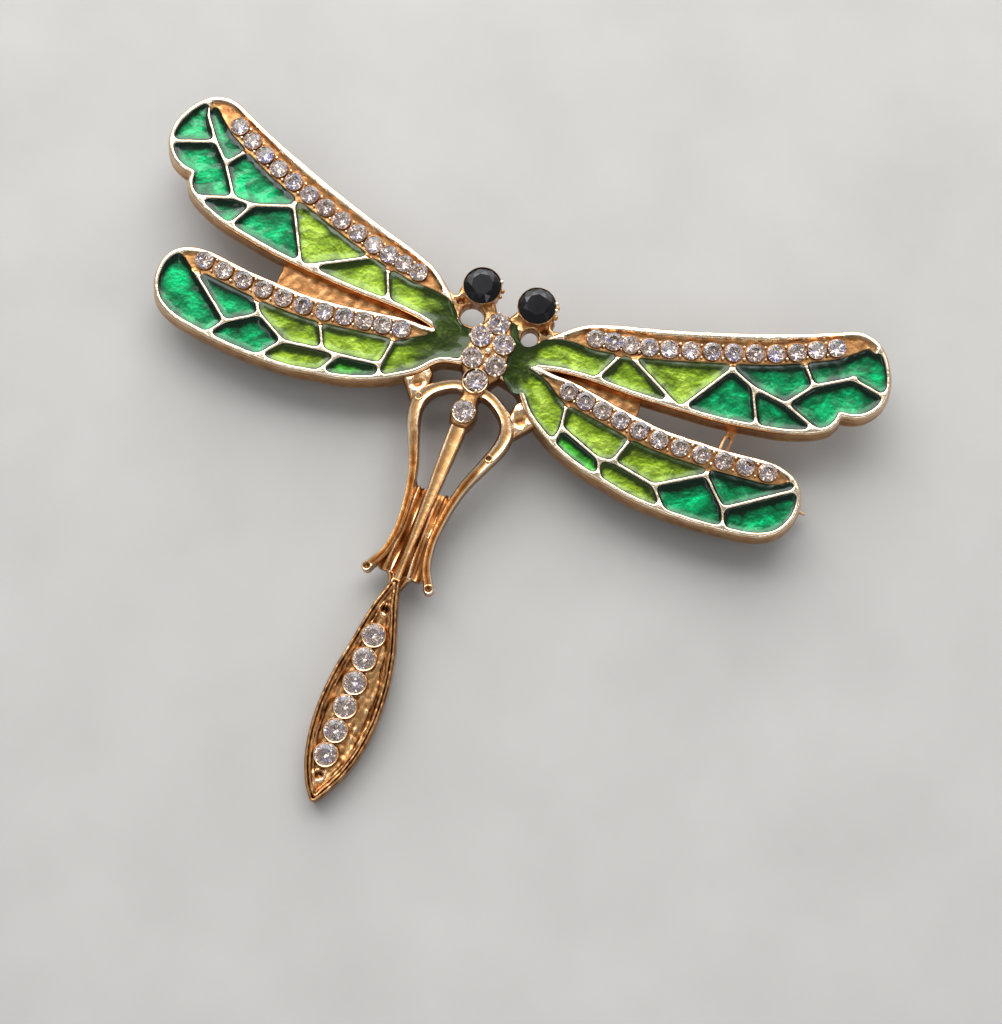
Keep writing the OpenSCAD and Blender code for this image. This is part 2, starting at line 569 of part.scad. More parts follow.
module eye(side) color(JET) laid() on_side(side) stone_at([eye_out, eye_up], eye_z, eye_d);
module neck_stone() color(CRYSTAL) laid() stone_at([0, -neck_y], thorax_z, body_stone_d);
module thorax_stone(i) color(CRYSTAL) laid() stone_at(thorax_spots[i], thorax_z, body_stone_d);
module tail_stone(i) color(CRYSTAL) laid() stone_at(tail_spots[i], tail_top_z, body_stone_d);
module fore_stone_row(side) color(CRYSTAL) laid() on_side(side)
    for (p = fore_row) stone_at(p, wing_stone_z, wing_stone_d);
module hind_stone_row(side) color(CRYSTAL) laid() on_side(side)
    for (p = hind_row) stone_at(p, wing_stone_z, wing_stone_d);
module fore_enamel(side, i) color(FORE_TINT[i]) laid() on_side(side)
    fill() fore_cell(side, i, enamel_gap);
module hind_enamel(side, i) color(HIND_TINT[i]) laid() on_side(side)
    fill() hind_cell(side, i, enamel_gap);

// Stem with its sharpened point and the knuckle that turns on the rivet
module pin_stem() color(ROSE) laid() at_hinge() difference() {
    union() {
        rotate([0, 90, 0]) cylinder(h = root_len, r1 = 1.3 * stem_r, r2 = stem_r);
        rotate([0, 90, 0]) cylinder(h = stem_len - point_len, r = stem_r);
        translate([stem_len - point_len, 0, 0]) rotate([0, 90, 0])
            cylinder(h = point_len, r1 = stem_r, r2 = stem_r / 5);
        on_axis() cylinder(h = knuckle_w, r = knuckle_r, center = true, $fn = 32);
    }
    on_axis() cylinder(h = 2 * knuckle_w, r = rivet_r + rivet_gap, center = true);
}

module hinge_rivet() color(ROSE) laid() at_hinge() on_axis()
    cylinder(h = 2 * ear_out, r = rivet_r - 0.01, center = true);

casting();
pin_stem();
hinge_rivet();
neck_stone();
for (s = SIDES) eye(s);
for (i = [1:6]) thorax_stone(i - 1);
for (i = [1:tail_stones]) tail_stone(i - 1);
for (s = SIDES) fore_stone_row(s);
for (s = SIDES) hind_stone_row(s);
for (s = SIDES) for (i = [1:9])
    fore_enamel(s, i - 1);
for (s = SIDES) for (i = [1:8])
    hind_enamel(s, i - 1);
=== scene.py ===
"""Dragonfly brooch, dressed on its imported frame: cast metal, enamel, cut stones and the hinged pin.

Sizes are in millimetres in the brooch's own frame until a mesh is made: X runs to the right wing, Y to
the head and Z out of the decorated front, with the flat back at Z = 0.
"""

import logging
import math
from dataclasses import dataclass, field
from enum import Enum
from typing import Callable, Sequence

import bmesh
import bpy
import numpy as np
from mathutils import Matrix, Vector
from mathutils.geometry import delaunay_2d_cdt

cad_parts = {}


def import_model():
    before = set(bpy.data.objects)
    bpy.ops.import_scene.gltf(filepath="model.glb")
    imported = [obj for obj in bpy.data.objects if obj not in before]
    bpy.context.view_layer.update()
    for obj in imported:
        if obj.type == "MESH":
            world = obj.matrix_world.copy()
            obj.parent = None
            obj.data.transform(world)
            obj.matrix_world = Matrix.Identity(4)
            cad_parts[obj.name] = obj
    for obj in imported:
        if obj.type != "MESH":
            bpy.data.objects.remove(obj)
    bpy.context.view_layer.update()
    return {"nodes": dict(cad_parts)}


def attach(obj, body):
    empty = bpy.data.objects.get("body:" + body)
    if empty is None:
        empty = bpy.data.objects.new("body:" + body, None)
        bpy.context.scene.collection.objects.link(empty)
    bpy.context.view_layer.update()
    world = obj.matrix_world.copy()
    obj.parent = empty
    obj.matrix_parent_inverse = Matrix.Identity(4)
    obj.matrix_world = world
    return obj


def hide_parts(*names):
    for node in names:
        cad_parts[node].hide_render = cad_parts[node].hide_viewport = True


LOG = logging.getLogger("brooch")
MM = 0.001
PER_MM = 1000
# Tolerance of the triangulations and the clearance of a skin's inner points from its edges, in millimetres.
TOUCH = 1e-6
CLEAR = 0.02
Array = np.ndarray
Rows = Sequence[Sequence[float]]
Height = Callable[[Array], Array]
Wear = Callable[[Array, Array], Array]
Tree = bpy.types.NodeTree
Material = bpy.types.Material
Mesh = bpy.types.Mesh
Piece = bpy.types.Object
Nodes = dict[str, Piece]
Stops = Sequence[tuple[float, str]]


class Side(Enum):
    """Which half of the brooch a mirrored piece belongs to."""

    LEFT = -1
    RIGHT = 1

    @property
    def word(self) -> str:
        """The side's name as it stands in the names of pieces."""
        return self.name.lower()


class Pair(Enum):
    """Which of the two pairs of wings."""

    FORE = "fore"
    HIND = "hind"


class Tint(Enum):
    """Colour of a pour of enamel."""

    EMERALD = "emerald"
    LIME = "lime"
    GRASS = "grass"


class Cut(Enum):
    """What is made of a cut stone: its upper facets, its lower facets or all of it."""

    CROWN = "crowns"
    PAVILION = "foils"
    WHOLE = "stones"


@dataclass(frozen=True)
class Sizes:
    """The sizes that several pieces share, as the solid model names them, in millimetres and radians."""

    fore_reach: float = 44.4
    fore_rise: float = 15.0
    hind_reach: float = 39.2
    hind_drop: float = 13.3
    rim_z: float = 2.4
    cell_z: float = 1.4
    flare: float = 0.3
    web_z: float = 0.9
    thorax_z: float = 3.0
    wing_stone: float = 2.05
    body_stone: float = 2.4
    eye: float = 4.3
    eye_out: float = 3.35
    eye_up: float = 3.9
    cup_z: float = 3.4
    neck_y: float = 10.5
    leg: float = 2.2
    feet_y: float = 31.2
    feet_out: float = 4.2
    tail_y: float = 56.8
    tail_half: float = 3.45
    tail_thick: float = 2.5
    stem_r: float = 0.45
    stem_drop: float = 2.1
    hinge_out: float = 24.3
    hinge_y: float = 0.6
    catch_out: float = 28.8
    catch_y: float = 5.5
    point_past: float = 11.7
    point_len: float = 4.0
    hinge_lean: float = math.radians(30)
    rivet_r: float = 0.39
    knuckle_r: float = 1.0
    knuckle_w: float = 1.2
    ear_thick: float = 0.6
    ear_gap: float = 0.12
    hook_in: float = 1.1
    hook_wall: float = 0.55
    hook_w: float = 1.3
    hook_end: float = math.radians(260)

    @property
    def lie(self) -> float:
        """Angle at which the brooch lies on its tail's tip, hinge and catch."""
        y, z = self.hook_low
        return math.atan2(z + self.rim_z - self.tail_thick, self.tail_y - y)

    @property
    def hook_low(self) -> tuple[float, float]:
        """Place towards the head and depth under the back of the lowest point of the catch."""
        out = self.hook_in + self.hook_wall
        return self.catch_y - out * math.cos(self.hook_end), self.stem_drop - out * math.sin(self.hook_end)

    @property
    def skew(self) -> float:
        """Turn of the pin in the plane of the back."""
        return -math.atan2(self.catch_y - self.hinge_y, self.catch_out + self.hinge_out)

    @property
    def catch_at(self) -> float:
        """Distance of the catch from the hinge."""
        return math.hypot(self.catch_out + self.hinge_out, self.catch_y - self.hinge_y)

    def laid(self) -> Matrix:
        """The way in which the brooch lies on the floor.

        Returns:
            Matrix from the brooch's frame in millimetres to the row frame in metres.
        """
        back = self.rim_z - self.tail_thick
        top = max(spline(np.array(FORE_LEAD) * [self.fore_reach, self.fore_rise], 3)[:, 1])
        cos, sin = math.cos(self.lie), math.sin(self.lie)
        mid = ((top + self.flare) * cos - self.tail_y * cos - self.rim_z * sin) / 2
        lift = self.tail_y * sin - back * cos
        move = Matrix.Translation((0, -mid * MM, lift * MM))
        return move @ Matrix.Rotation(self.lie, 4, "X") @ Matrix.Scale(MM, 4)


# Outlines as shares of the reach and the rise or drop of a wing, from the body round the tip.
FORE_LEAD = [
    [0.06, -0.1], [0.105, -0.02], [0.135, 0.1], [0.157, 0.16], [0.212, 0.285], [0.295, 0.375], [0.395, 0.46],
    [0.516, 0.575], [0.625, 0.69], [0.74, 0.82], [0.82, 0.925], [0.875, 0.99], [0.93, 0.965],
    [0.972, 0.84], [0.998, 0.66], [0.994, 0.49], [0.965, 0.365], [0.93, 0.312], [0.905, 0.3],
]
FORE_TRAIL = [
    [0.902, 0.235], [0.885, 0.16], [0.845, 0.088], [0.785, 0.022], [0.706, -0.027], [0.605, -0.075],
    [0.495, -0.1], [0.385, -0.12], [0.27, -0.123], [0.19, -0.147], [0.13, -0.19], [0.05, -0.2],
]
FORE_ROW = [[0.833, 0.8], [0.692, 0.59], [0.537, 0.428], [0.382, 0.285], [0.246, 0.202]]
HIND_EDGE = [
    [0.06, 0.15], [0.13, 0.165], [0.19, 0.19], [0.26, 0.195], [0.31, 0.214], [0.37, 0.242],
    [0.425, 0.268], [0.49, 0.29], [0.554, 0.308], [0.617, 0.303], [0.68, 0.295], [0.75, 0.285],
    [0.815, 0.262], [0.875, 0.245], [0.925, 0.262], [0.968, 0.325], [0.995, 0.45], [0.998, 0.62],
    [0.978, 0.77], [0.945, 0.865], [0.89, 0.93], [0.8, 0.97], [0.71, 0.995], [0.62, 1], [0.53, 0.99],
    [0.445, 0.945], [0.365, 0.9], [0.28, 0.81], [0.215, 0.705], [0.165, 0.6], [0.12, 0.455], [0.05, 0.4],
]
HIND_ROW = [[0.878, 0.348], [0.716, 0.395], [0.554, 0.412], [0.4, 0.36], [0.261, 0.297]]
# Down as a share of the neck's distance, and half width as a multiple of a body stone.
BODY_ROWS = [
    [-0.18, 0.3], [-0.14, 0.52], [-0.05, 0.66], [0.05, 0.9], [0.16, 1.04], [0.28, 1.08], [0.42, 1.06],
    [0.52, 0.98], [0.62, 0.68], [0.72, 0.6], [0.82, 0.4], [0.9, 0.5], [1, 0.62], [1.1, 0.55], [1.17, 0.36],
]
THORAX_STONES = [[0, -0.045], [-0.58, 0.153], [0.58, 0.153], [-0.58, 0.41], [0.58, 0.41], [0, 0.64]]
# Out as a share of the feet's spread, down as a share of the feet's distance, half width of the leg.
LEG_ROWS = [
    [0.1, 0.248, 0.3], [0.42, 0.246, 0.28], [0.76, 0.266, 0.28], [1.08, 0.302, 0.3], [1.27, 0.352, 0.35],
    [1.23, 0.415, 0.33], [1.02, 0.49, 0.28], [0.77, 0.575, 0.24], [0.61, 0.66, 0.21], [0.52, 0.75, 0.19],
    [0.5, 0.835, 0.19], [0.61, 0.915, 0.2], [0.88, 0.985, 0.24],
]
# Corners of the web that ties a leg to its hind wing, as shares of the same two.
TIE_EDGE = [[1.17, 0.31], [1.19, 0.237], [1.33, 0.218], [1.95, 0.285], [1.81, 0.308], [1.48, 0.362]]
# Down as a share of the feet's distance, and half width as a multiple of a leg's height.
BAR_ROWS = [
    [0.36, 0.42], [0.42, 0.44], [0.5, 0.41], [0.65, 0.32], [0.83, 0.22], [0.94, 0.19], [1.06, 0.2],
]
# Half width as a share of the feet's spread, and down as a share of the feet's distance.
SKIRT_ROWS = [
    [0.52, 0.65], [0.5, 0.75], [0.5, 0.84], [0.58, 0.91],
    [0.62, 0.97], [0.42, 0.97], [0.27, 0.99], [0.18, 1.03],
]
# Enamel that runs from the root cells over the roots of the wings to the cluster, in millimetres.
SADDLES = {
    Side.RIGHT: [
        [8.0, 1.3], [7.15, 1.44], [6.08, 1.11], [5.27, 0.53], [4.73, -0.31], [3.9, -0.87], [3.2, -0.78],
        [2.55, 0.0], [2.1, 0.9], [1.4, 1.35], [1.2, 0.5], [2.1, -1.2], [2.4, -3.0], [2.45, -4.7],
        [2.95, -5.4], [3.83, -5.9], [4.6, -6.3], [6.5, -5.2], [5.7, -3.75], [4.85, -3.1], [5.7, -2.5],
        [7.2, -0.8],
    ],
    Side.LEFT: [
        [8.0, 1.4], [7.04, 1.56], [6.25, 1.33], [5.1, 0.16], [4.5, -0.7], [3.4, -1.15], [2.3, -1.1],
        [2.1, -1.6], [2.3, -3.0], [2.4, -4.2], [2.75, -4.5], [4.0, -5.0], [5.2, -5.5], [7.2, -4.4],
        [7.1, -3.3], [6.44, -2.6], [7.1, -2.2], [8.0, -0.5],
    ],
}
# Down as a share of the tail's length, half width and step aside as shares of its greatest half width.
TAIL_ROWS = [
    [0, 0.14, 0], [0.05, 0.22, 0], [0.13, 0.4, 0], [0.22, 0.58, 0.05], [0.33, 0.77, 0.12],
    [0.46, 0.94, 0.14], [0.6, 1, 0.14], [0.73, 0.92, 0.13], [0.84, 0.72, 0.12], [0.92, 0.46, 0.12],
    [0.97, 0.24, 0.14], [1, 0.06, 0.15],
]
# Corners of the pierced plate behind an eye, in millimetres.
PLATE_EDGE = [
    [0, -0.6], [1.6, -1.2], [3.2, -1.6], [5.0, -0.6], [6.3, 0.7], [7.2, 1.4], [7.1, 2.35], [6.2, 2.2],
    [5.75, 2.6], [5.65, 3.4], [4.0, 4.2], [2.2, 3.8], [1.2, 2.6], [0.6, 1.6], [0, 1.3],
]
# Tints of a wing's cells, from the tip to the root.
TINTS = {
    Pair.FORE: [Tint.EMERALD] * 6 + [Tint.LIME] * 3,
    Pair.HIND: [Tint.EMERALD] * 3 + [Tint.LIME] * 3 + [Tint.GRASS, Tint.LIME],
}


def spline(points: Sequence, steps: int) -> Array:
    """Smooth curve through the points, as the solid model draws it.

    Args:
        points: Rows of two or more numbers.
        steps: Stretches between two points.

    Returns:
        The rows of the curve, the last point included.
    """
    p = np.asarray(points, float)
    p = np.vstack([2 * p[0] - p[1], p, 2 * p[-1] - p[-2]])
    t = (np.arange(steps) / steps)[:, None]
    runs = [
        0.5 * (2 * b + (c - a) * t + (2 * a - 5 * b + 4 * c - d) * t**2 + (3 * b - a - 3 * c + d) * t**3)
        for a, b, c, d in zip(p, p[1:], p[2:], p[3:])
    ]
    return np.vstack(runs + [p[-2:-1]])


def even(points: Array, pitch: float, closed: bool = True) -> Array:
    """Spreads points evenly along a line.

    Args:
        points: The line's corners.
        pitch: Distance between the new points.
        closed: Whether the line runs back to its start.

    Returns:
        The same line with at least six stretches of equal length.
    """
    p = np.vstack([points, points[:1]]) if closed else np.asarray(points, float)
    s = np.r_[0, np.cumsum(np.linalg.norm(np.diff(p[:, :2], axis=0), axis=1))]
    u = np.linspace(0, s[-1], max(6, round(s[-1] / pitch)) + 1)
    q = np.column_stack([np.interp(u, s, p[:, k]) for k in range(p.shape[1])])
    return q[:-1] if closed else q


def anticlockwise(loop: Array) -> Array:
    """The loop, turned round if it runs clockwise."""
    x, y = loop[:, 0], loop[:, 1]
    return loop if np.sum(x * np.roll(y, -1) - y * np.roll(x, -1)) > 0 else loop[::-1]


def outward(loop: Array) -> Array:
    """Finds the way out of a loop.

    Args:
        loop: Anticlockwise loop.

    Returns:
        Unit vectors to the right of travel, one for each point.
    """
    d = np.roll(loop, -1, 0) - np.roll(loop, 1, 0)
    d /= np.maximum(np.linalg.norm(d, axis=1), 1e-9)[:, None]
    return np.column_stack([d[:, 1], -d[:, 0]])


def circle(x: float, y: float, rx: float, ry: float | None = None, n: int = 28) -> Array:
    """Points of a circle, or of an oval."""
    a = np.arange(n) * 2 * math.pi / n
    return np.column_stack([x + rx * np.cos(a), y + (ry or rx) * np.sin(a)])


def crossways(rows: Array) -> Array:
    """Finds the way across a line.

    Args:
        rows: Rows of the line, whose first two numbers are x and y.

    Returns:
        Unit vectors to the left of travel.
    """
    d = np.gradient(rows[:, :2], axis=0)
    d /= np.linalg.norm(d, axis=1)[:, None]
    return np.column_stack([-d[:, 1], d[:, 0]])


def ribbon(rows: Array) -> Array:
    """Outlines a strip.

    Args:
        rows: Points of its middle line as x, y and half width.

    Returns:
        The strip's anticlockwise outline.
    """
    n = crossways(rows) * rows[:, 2:3]
    return anticlockwise(np.vstack([rows[:, :2] + n, (rows[:, :2] - n)[::-1]]))


def gap(points: Array, line: Array, closed: bool = True) -> Array:
    """Measures how far points lie from a line.

    Args:
        points: The points.
        line: Corners of the line.
        closed: Whether the line runs back to its start.

    Returns:
        The distance of each point.
    """
    a = line if closed else line[:-1]
    b = np.roll(line, -1, 0) if closed else line[1:]
    d = b - a
    long = np.maximum((d**2).sum(1), 1e-12)
    best = np.full(len(points), 1e9)
    block = 4000
    for start in range(0, len(points), block):
        p = points[start:start + block]
        v = p[:, None] - a[None]
        t = np.clip((v * d).sum(2) / long, 0, 1)
        best[start:start + block] = np.sqrt(((v - t[..., None] * d) ** 2).sum(2).min(1))
    return best


def nearest_gap(points: Array, loops: Sequence[Array]) -> Array:
    """Measures how far points lie from the nearest of several loops.

    Args:
        points: The points.
        loops: The loops.

    Returns:
        The distance of each point.
    """
    far = np.full(len(points), 1e9)
    for loop in loops:
        far = np.minimum(far, gap(points, loop))
    return far


def inside(points: Array, loop: Array) -> Array:
    """Tells which points a loop surrounds.

    Args:
        points: The points.
        loop: The loop, either way round.

    Returns:
        True for each point inside it.
    """
    x, y = points[:, :1], points[:, 1:2]
    ax, ay = loop[:, 0], loop[:, 1]
    bx, by = np.roll(ax, -1), np.roll(ay, -1)
    cross = (ay > y) != (by > y)
    at = ax + (y - ay) * (bx - ax) / np.where(by == ay, 1e-12, by - ay)
    return (cross & (x < at)).sum(1) % 2 == 1


def depth(points: Array, loop: Array) -> Array:
    """Distance of each point inside a loop, negative outside it."""
    far = gap(points, loop)
    return np.where(inside(points, loop), far, -far)


def softened(loop: Array, passes: int) -> Array:
    """Rounds off a loop's corners.

    Args:
        loop: The loop.
        passes: How often each point moves towards its neighbours.

    Returns:
        The softer loop.
    """
    for _ in range(passes):
        loop = (np.roll(loop, 1, 0) + 2 * loop + np.roll(loop, -1, 0)) / 4
    return loop


def triangles(points: Sequence, edges: list) -> tuple[Array, Array]:
    """Triangulates points, keeping to given edges.

    Args:
        points: Points of the plane.
        edges: Pairs of numbers of points that an edge joins.

    Returns:
        The points and the corners of the triangles.
    """
    found = delaunay_2d_cdt([Vector(p) for p in points], edges, [], 0, TOUCH, False)
    return np.array([tuple(v) for v in found[0]]), np.array([f for f in found[2] if len(f) == 3])


def joined(loops: Sequence[Array], bridge: float) -> Array:
    """One outline round several loops.

    Args:
        loops: Anticlockwise loops that lie less than twice the bridge apart, or overlap.
        bridge: Distance by which each loop grows before they are joined, and shrinks after it.

    Returns:
        The outline, anticlockwise.
    """
    pitch = 0.15
    grown = [even(loop + outward(loop) * bridge, pitch) for loop in loops]
    points, edges = [], []
    for loop in grown:
        edges += [(len(points) + i, len(points) + (i + 1) % len(loop)) for i in range(len(loop))]
        points += list(loop)
    p, tris = triangles(points, edges)
    middle = p[tris].mean(1)
    tris = tris[np.any([inside(middle, loop) for loop in grown], axis=0)]
    pairs = {(a, b) for t in tris.tolist() for a, b in zip(t, t[1:] + t[:1])}
    ahead = {a: b for a, b in pairs if (b, a) not in pairs}
    best: list[int] = []
    while ahead:
        at = start = next(iter(ahead))
        run = []
        while at in ahead:
            run.append(at)
            at = ahead.pop(at)
        best = run if len(run) > len(best) else best
    loop = softened(anticlockwise(even(p[best], pitch)), 6)
    return even(loop - outward(loop) * bridge, pitch)


def step(low: float, high: float, x: Array) -> Array:
    """Smooth rise from 0 at low to 1 at high; low may be the greater."""
    t = np.clip((x - low) / (high - low), 0, 1)
    return t * t * (3 - 2 * t)


def dome(d: Array, r: float) -> Array:
    """Drop of a rounded edge at the distance d inside it."""
    t = 1 - np.clip(d / r, 0, 1)
    return r * (1 - np.sqrt(np.maximum(1 - t * t, 0)))


def ripple(p: Array, wave: float, seed: int) -> Array:
    """Gives a gentle unevenness from a few waves that run in random directions.

    Args:
        p: Points of the plane.
        wave: Their length, from 0.7 to 1.5 times this.
        seed: Seed of their directions and phases.

    Returns:
        A number between about -1 and 1 for each point.
    """
    rng = np.random.default_rng(seed)
    total = np.zeros(len(p))
    for _ in range(7):
        a = rng.uniform(0, math.tau)
        k = math.tau / (wave * rng.uniform(0.7, 1.5))
        total += np.sin(k * (p[:, 0] * math.cos(a) + p[:, 1] * math.sin(a)) + rng.uniform(0, math.tau))
    return total / 3.5


def level(p: Array, z: Array | float) -> Array:
    """Points of the plane, raised to one height or to a height each."""
    return np.column_stack([p, np.broadcast_to(z, len(p))])


@dataclass
class Shell:
    """Points, faces and per-point marks of one piece, gathered before it becomes a mesh.

    Args:
        side: Mirrors what is added for the left half.
        frame: Local place of what is added, in the brooch's frame.
        points: Blocks of points in the brooch's frame.
        marks: The marks of those blocks.
        faces: Corners of each face.
        count: Number of points so far.
    """

    side: Side = Side.RIGHT
    frame: Matrix = field(default_factory=lambda: Matrix.Identity(4))
    points: list[Array] = field(default_factory=list)
    marks: list[Array] = field(default_factory=list)
    faces: list[tuple[int, ...]] = field(default_factory=list)
    count: int = 0

    def add(self, p: Array, faces: list, mark: Array | float) -> None:
        """Adds points and faces.

        Args:
            p: The points, in the shell's local frame.
            faces: Corners of each face by their rows in p, seen from outside anticlockwise.
            mark: Wear of metal, or painted shade of enamel, at each point.
        """
        m = np.array(self.frame)
        q = p @ m[:3, :3].T + m[:3, 3]
        if self.side is Side.LEFT:
            q = q * [-1, 1, 1]
            faces = [f[::-1] for f in faces]
        self.points.append(q)
        self.marks.append(np.broadcast_to(mark, len(q)))
        self.faces += [tuple(i + self.count for i in f) for f in faces]
        self.count += len(q)

    def grid(self, rows: Array, mark: Array | float, close_u: bool = False, close_v: bool = False) -> None:
        """Adds a net of points, which faces along rows x columns.

        Args:
            rows: The net's points by row and column.
            mark: Mark of each point, or of each column.
            close_u: Whether the last row is joined to the first.
            close_v: Whether the last column is joined to the first.
        """
        nu, nv = rows.shape[:2]
        across, along = np.arange(nu if close_u else nu - 1), np.arange(nv if close_v else nv - 1)
        i, j = (axis.ravel() for axis in np.meshgrid(across, along, indexing="ij"))
        k, m = (i + 1) % nu, (j + 1) % nv
        faces = np.column_stack([i * nv + j, k * nv + j, k * nv + m, i * nv + m]).tolist()
        self.add(rows.reshape(-1, 3), faces, np.broadcast_to(mark, (nu, nv)).ravel())

    def skirt(self, loop: Array, rows: Sequence, mark: Sequence[float]) -> None:
        """Adds a wall round an anticlockwise loop.

        Args:
            loop: The loop.
            rows: Outward offset and height of each row of the wall, upwards.
            mark: Mark of each row.
        """
        n = outward(loop)
        self.grid(np.stack([level(loop + n * o, z) for o, z in rows], 1), np.array(mark, float), close_u=True)

    def lathe(self, centre: Sequence[float], profile: Rows, mark: Sequence[float], n: int = 32) -> None:
        """Adds a turned shape.

        Args:
            centre: X and Y of its axis.
            profile: Radius and height of each row, outer side first.
            mark: Mark of each row.
            n: Number of points round it.
        """
        a = np.arange(n) * math.tau / n
        r, z = np.array(profile, float).T
        x, y = centre[0] + np.outer(np.cos(a), r), centre[1] + np.outer(np.sin(a), r)
        self.grid(np.stack([x, y, np.broadcast_to(z, x.shape)], 2), np.array(mark, float), close_u=True)

    def loft(self, rows: Array, section: Rows, deep: Array | float = 0.0) -> None:
        """Adds an arm along a line.

        Args:
            rows: The line's x, y and half width.
            section: Share of the half width, height, mark and share of the groove, along the cross-section
                from the right-hand side of travel over the top to the left.
            deep: Depth of the groove at each row.
        """
        share, z, mark, cut = np.array(section, float).T
        at = rows[:, None, :2] - crossways(rows)[:, None] * (rows[:, 2:3] * share)[..., None]
        high = z[None] - np.broadcast_to(deep, len(rows))[:, None] * cut[None]
        self.grid(np.concatenate([at, high[..., None]], 2)[:, ::-1], mark[::-1], close_v=True)

    def flat(self, loop: Array, z: float, up: bool, mark: float, holes: Sequence[Array] = ()) -> None:
        """Closes a loop with a flat face.

        Args:
            loop: The loop.
            z: Height of the face.
            up: Whether it faces up.
            mark: Its mark.
            holes: Loops at which it is open.
        """
        p, tris = mesh_between(loop, holes, np.zeros((0, 2)))
        self.add(level(p, z), tris if up else [t[::-1] for t in tris], mark)

    def build(self, name: str, sharp: float = 40, body: str = "brooch") -> Piece:
        """Makes the object in the row frame.

        Args:
            name: Name of the piece.
            sharp: Angle in degrees over which an edge is sharp.
            body: The body that it rides on.

        Returns:
            The piece.
        """
        doubles, slivers = 0.004, 0.001
        mesh = bpy.data.meshes.new(name)
        mesh.from_pydata(np.vstack(self.points).tolist(), [], self.faces)
        layer = mesh.attributes.new("mark", "FLOAT", "POINT")
        layer.data.foreach_set("value", np.concatenate(self.marks).astype(np.float32))
        work = bmesh.new()
        work.from_mesh(mesh)
        bmesh.ops.remove_doubles(work, verts=work.verts, dist=doubles)
        bmesh.ops.dissolve_degenerate(work, edges=work.edges, dist=slivers)
        work.to_mesh(mesh)
        work.free()
        mesh.transform(SIZES.laid())
        mesh.shade_smooth()
        mesh.set_sharp_from_angle(angle=math.radians(sharp))
        return linked(name, mesh, body)


def put(name: str, data: bpy.types.ID) -> Piece:
    """Puts data into the scene as an object.

    Args:
        name: Name of the object.
        data: Its mesh, light or camera.

    Returns:
        The object, at the origin.
    """
    made = bpy.data.objects.new(name, data)
    bpy.context.scene.collection.objects.link(made)
    return made


def linked(name: str, mesh: Mesh, body: str) -> Piece:
    """Puts a mesh into the scene as a piece that moves with a body.

    Args:
        name: Name of the piece.
        mesh: Its mesh, in the row frame.
        body: The body that it rides on.

    Returns:
        The piece.
    """
    mesh.validate()
    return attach(put(name, mesh), body)


def mesh_between(outer: Array, holes: Sequence[Array], extra: Array) -> tuple[Array, list]:
    """Fills an outline with triangles.

    Args:
        outer: The outline.
        holes: Loops that stay open.
        extra: More points for the triangles to use.

    Returns:
        The points, and the triangles, which are anticlockwise.
    """
    loops = [outer, *holes]
    edges, at = [], 0
    for loop in loops:
        edges += [(at + i, at + (i + 1) % len(loop)) for i in range(len(loop))]
        at += len(loop)
    p, tris = triangles(np.vstack([*loops, extra]), edges)
    middle = p[tris].mean(1)
    keep = inside(middle, outer)
    for hole in holes:
        keep &= ~inside(middle, hole)
    tris = tris[keep]
    a, b, c = (p[tris[:, k]] for k in range(3))
    area = (b[:, 0] - a[:, 0]) * (c[:, 1] - a[:, 1]) - (b[:, 1] - a[:, 1]) * (c[:, 0] - a[:, 0])
    tris[area < 0] = tris[area < 0][:, ::-1]
    return p, [tuple(t) for t in tris.tolist()]


def rings(loop: Array, depths: Sequence[float], into: int) -> Array:
    """Points beside a loop at several depths; into is 1 for inwards and -1 for outwards."""
    n = outward(loop)
    return np.vstack([loop - n * d * into for d in depths])


def thinned(p: Array, pitch: float) -> Array:
    """The points, one for each square of a fine net, in their own order."""
    pick = np.unique(np.round(p / pitch).astype(int), axis=0, return_index=True)[1]
    return p[np.sort(pick)]


def scatter(outer: Array, spacing: float) -> Array:
    """Spreads points over the box of an outline.

    Args:
        outer: The outline.
        spacing: Distance between the points.

    Returns:
        The points, in a staggered grid.
    """
    row_share = 0.866
    low, high = outer.min(0), outer.max(0)
    x = np.arange(low[0], high[0], spacing)
    y = np.arange(low[1], high[1], spacing * row_share)
    gx, gy = np.meshgrid(x, y)
    gx = gx + (np.arange(len(y)) % 2)[:, None] * spacing / 2
    return np.column_stack([gx.ravel(), gy.ravel()])


# Depths of the rings of points along the edges of a skin, which bends most there.
EDGE_RINGS = (0.03, 0.08, 0.15, 0.24, 0.34, 0.44, 0.52, 0.61, 0.71, 0.83)
CELL_RINGS = (0.03, 0.07, 0.12, 0.18, 0.24)
SEAT_RINGS = (0.1, 0.25)
SEAM_RINGS = (-0.12, 0.0, 0.1, 0.22, 0.35)


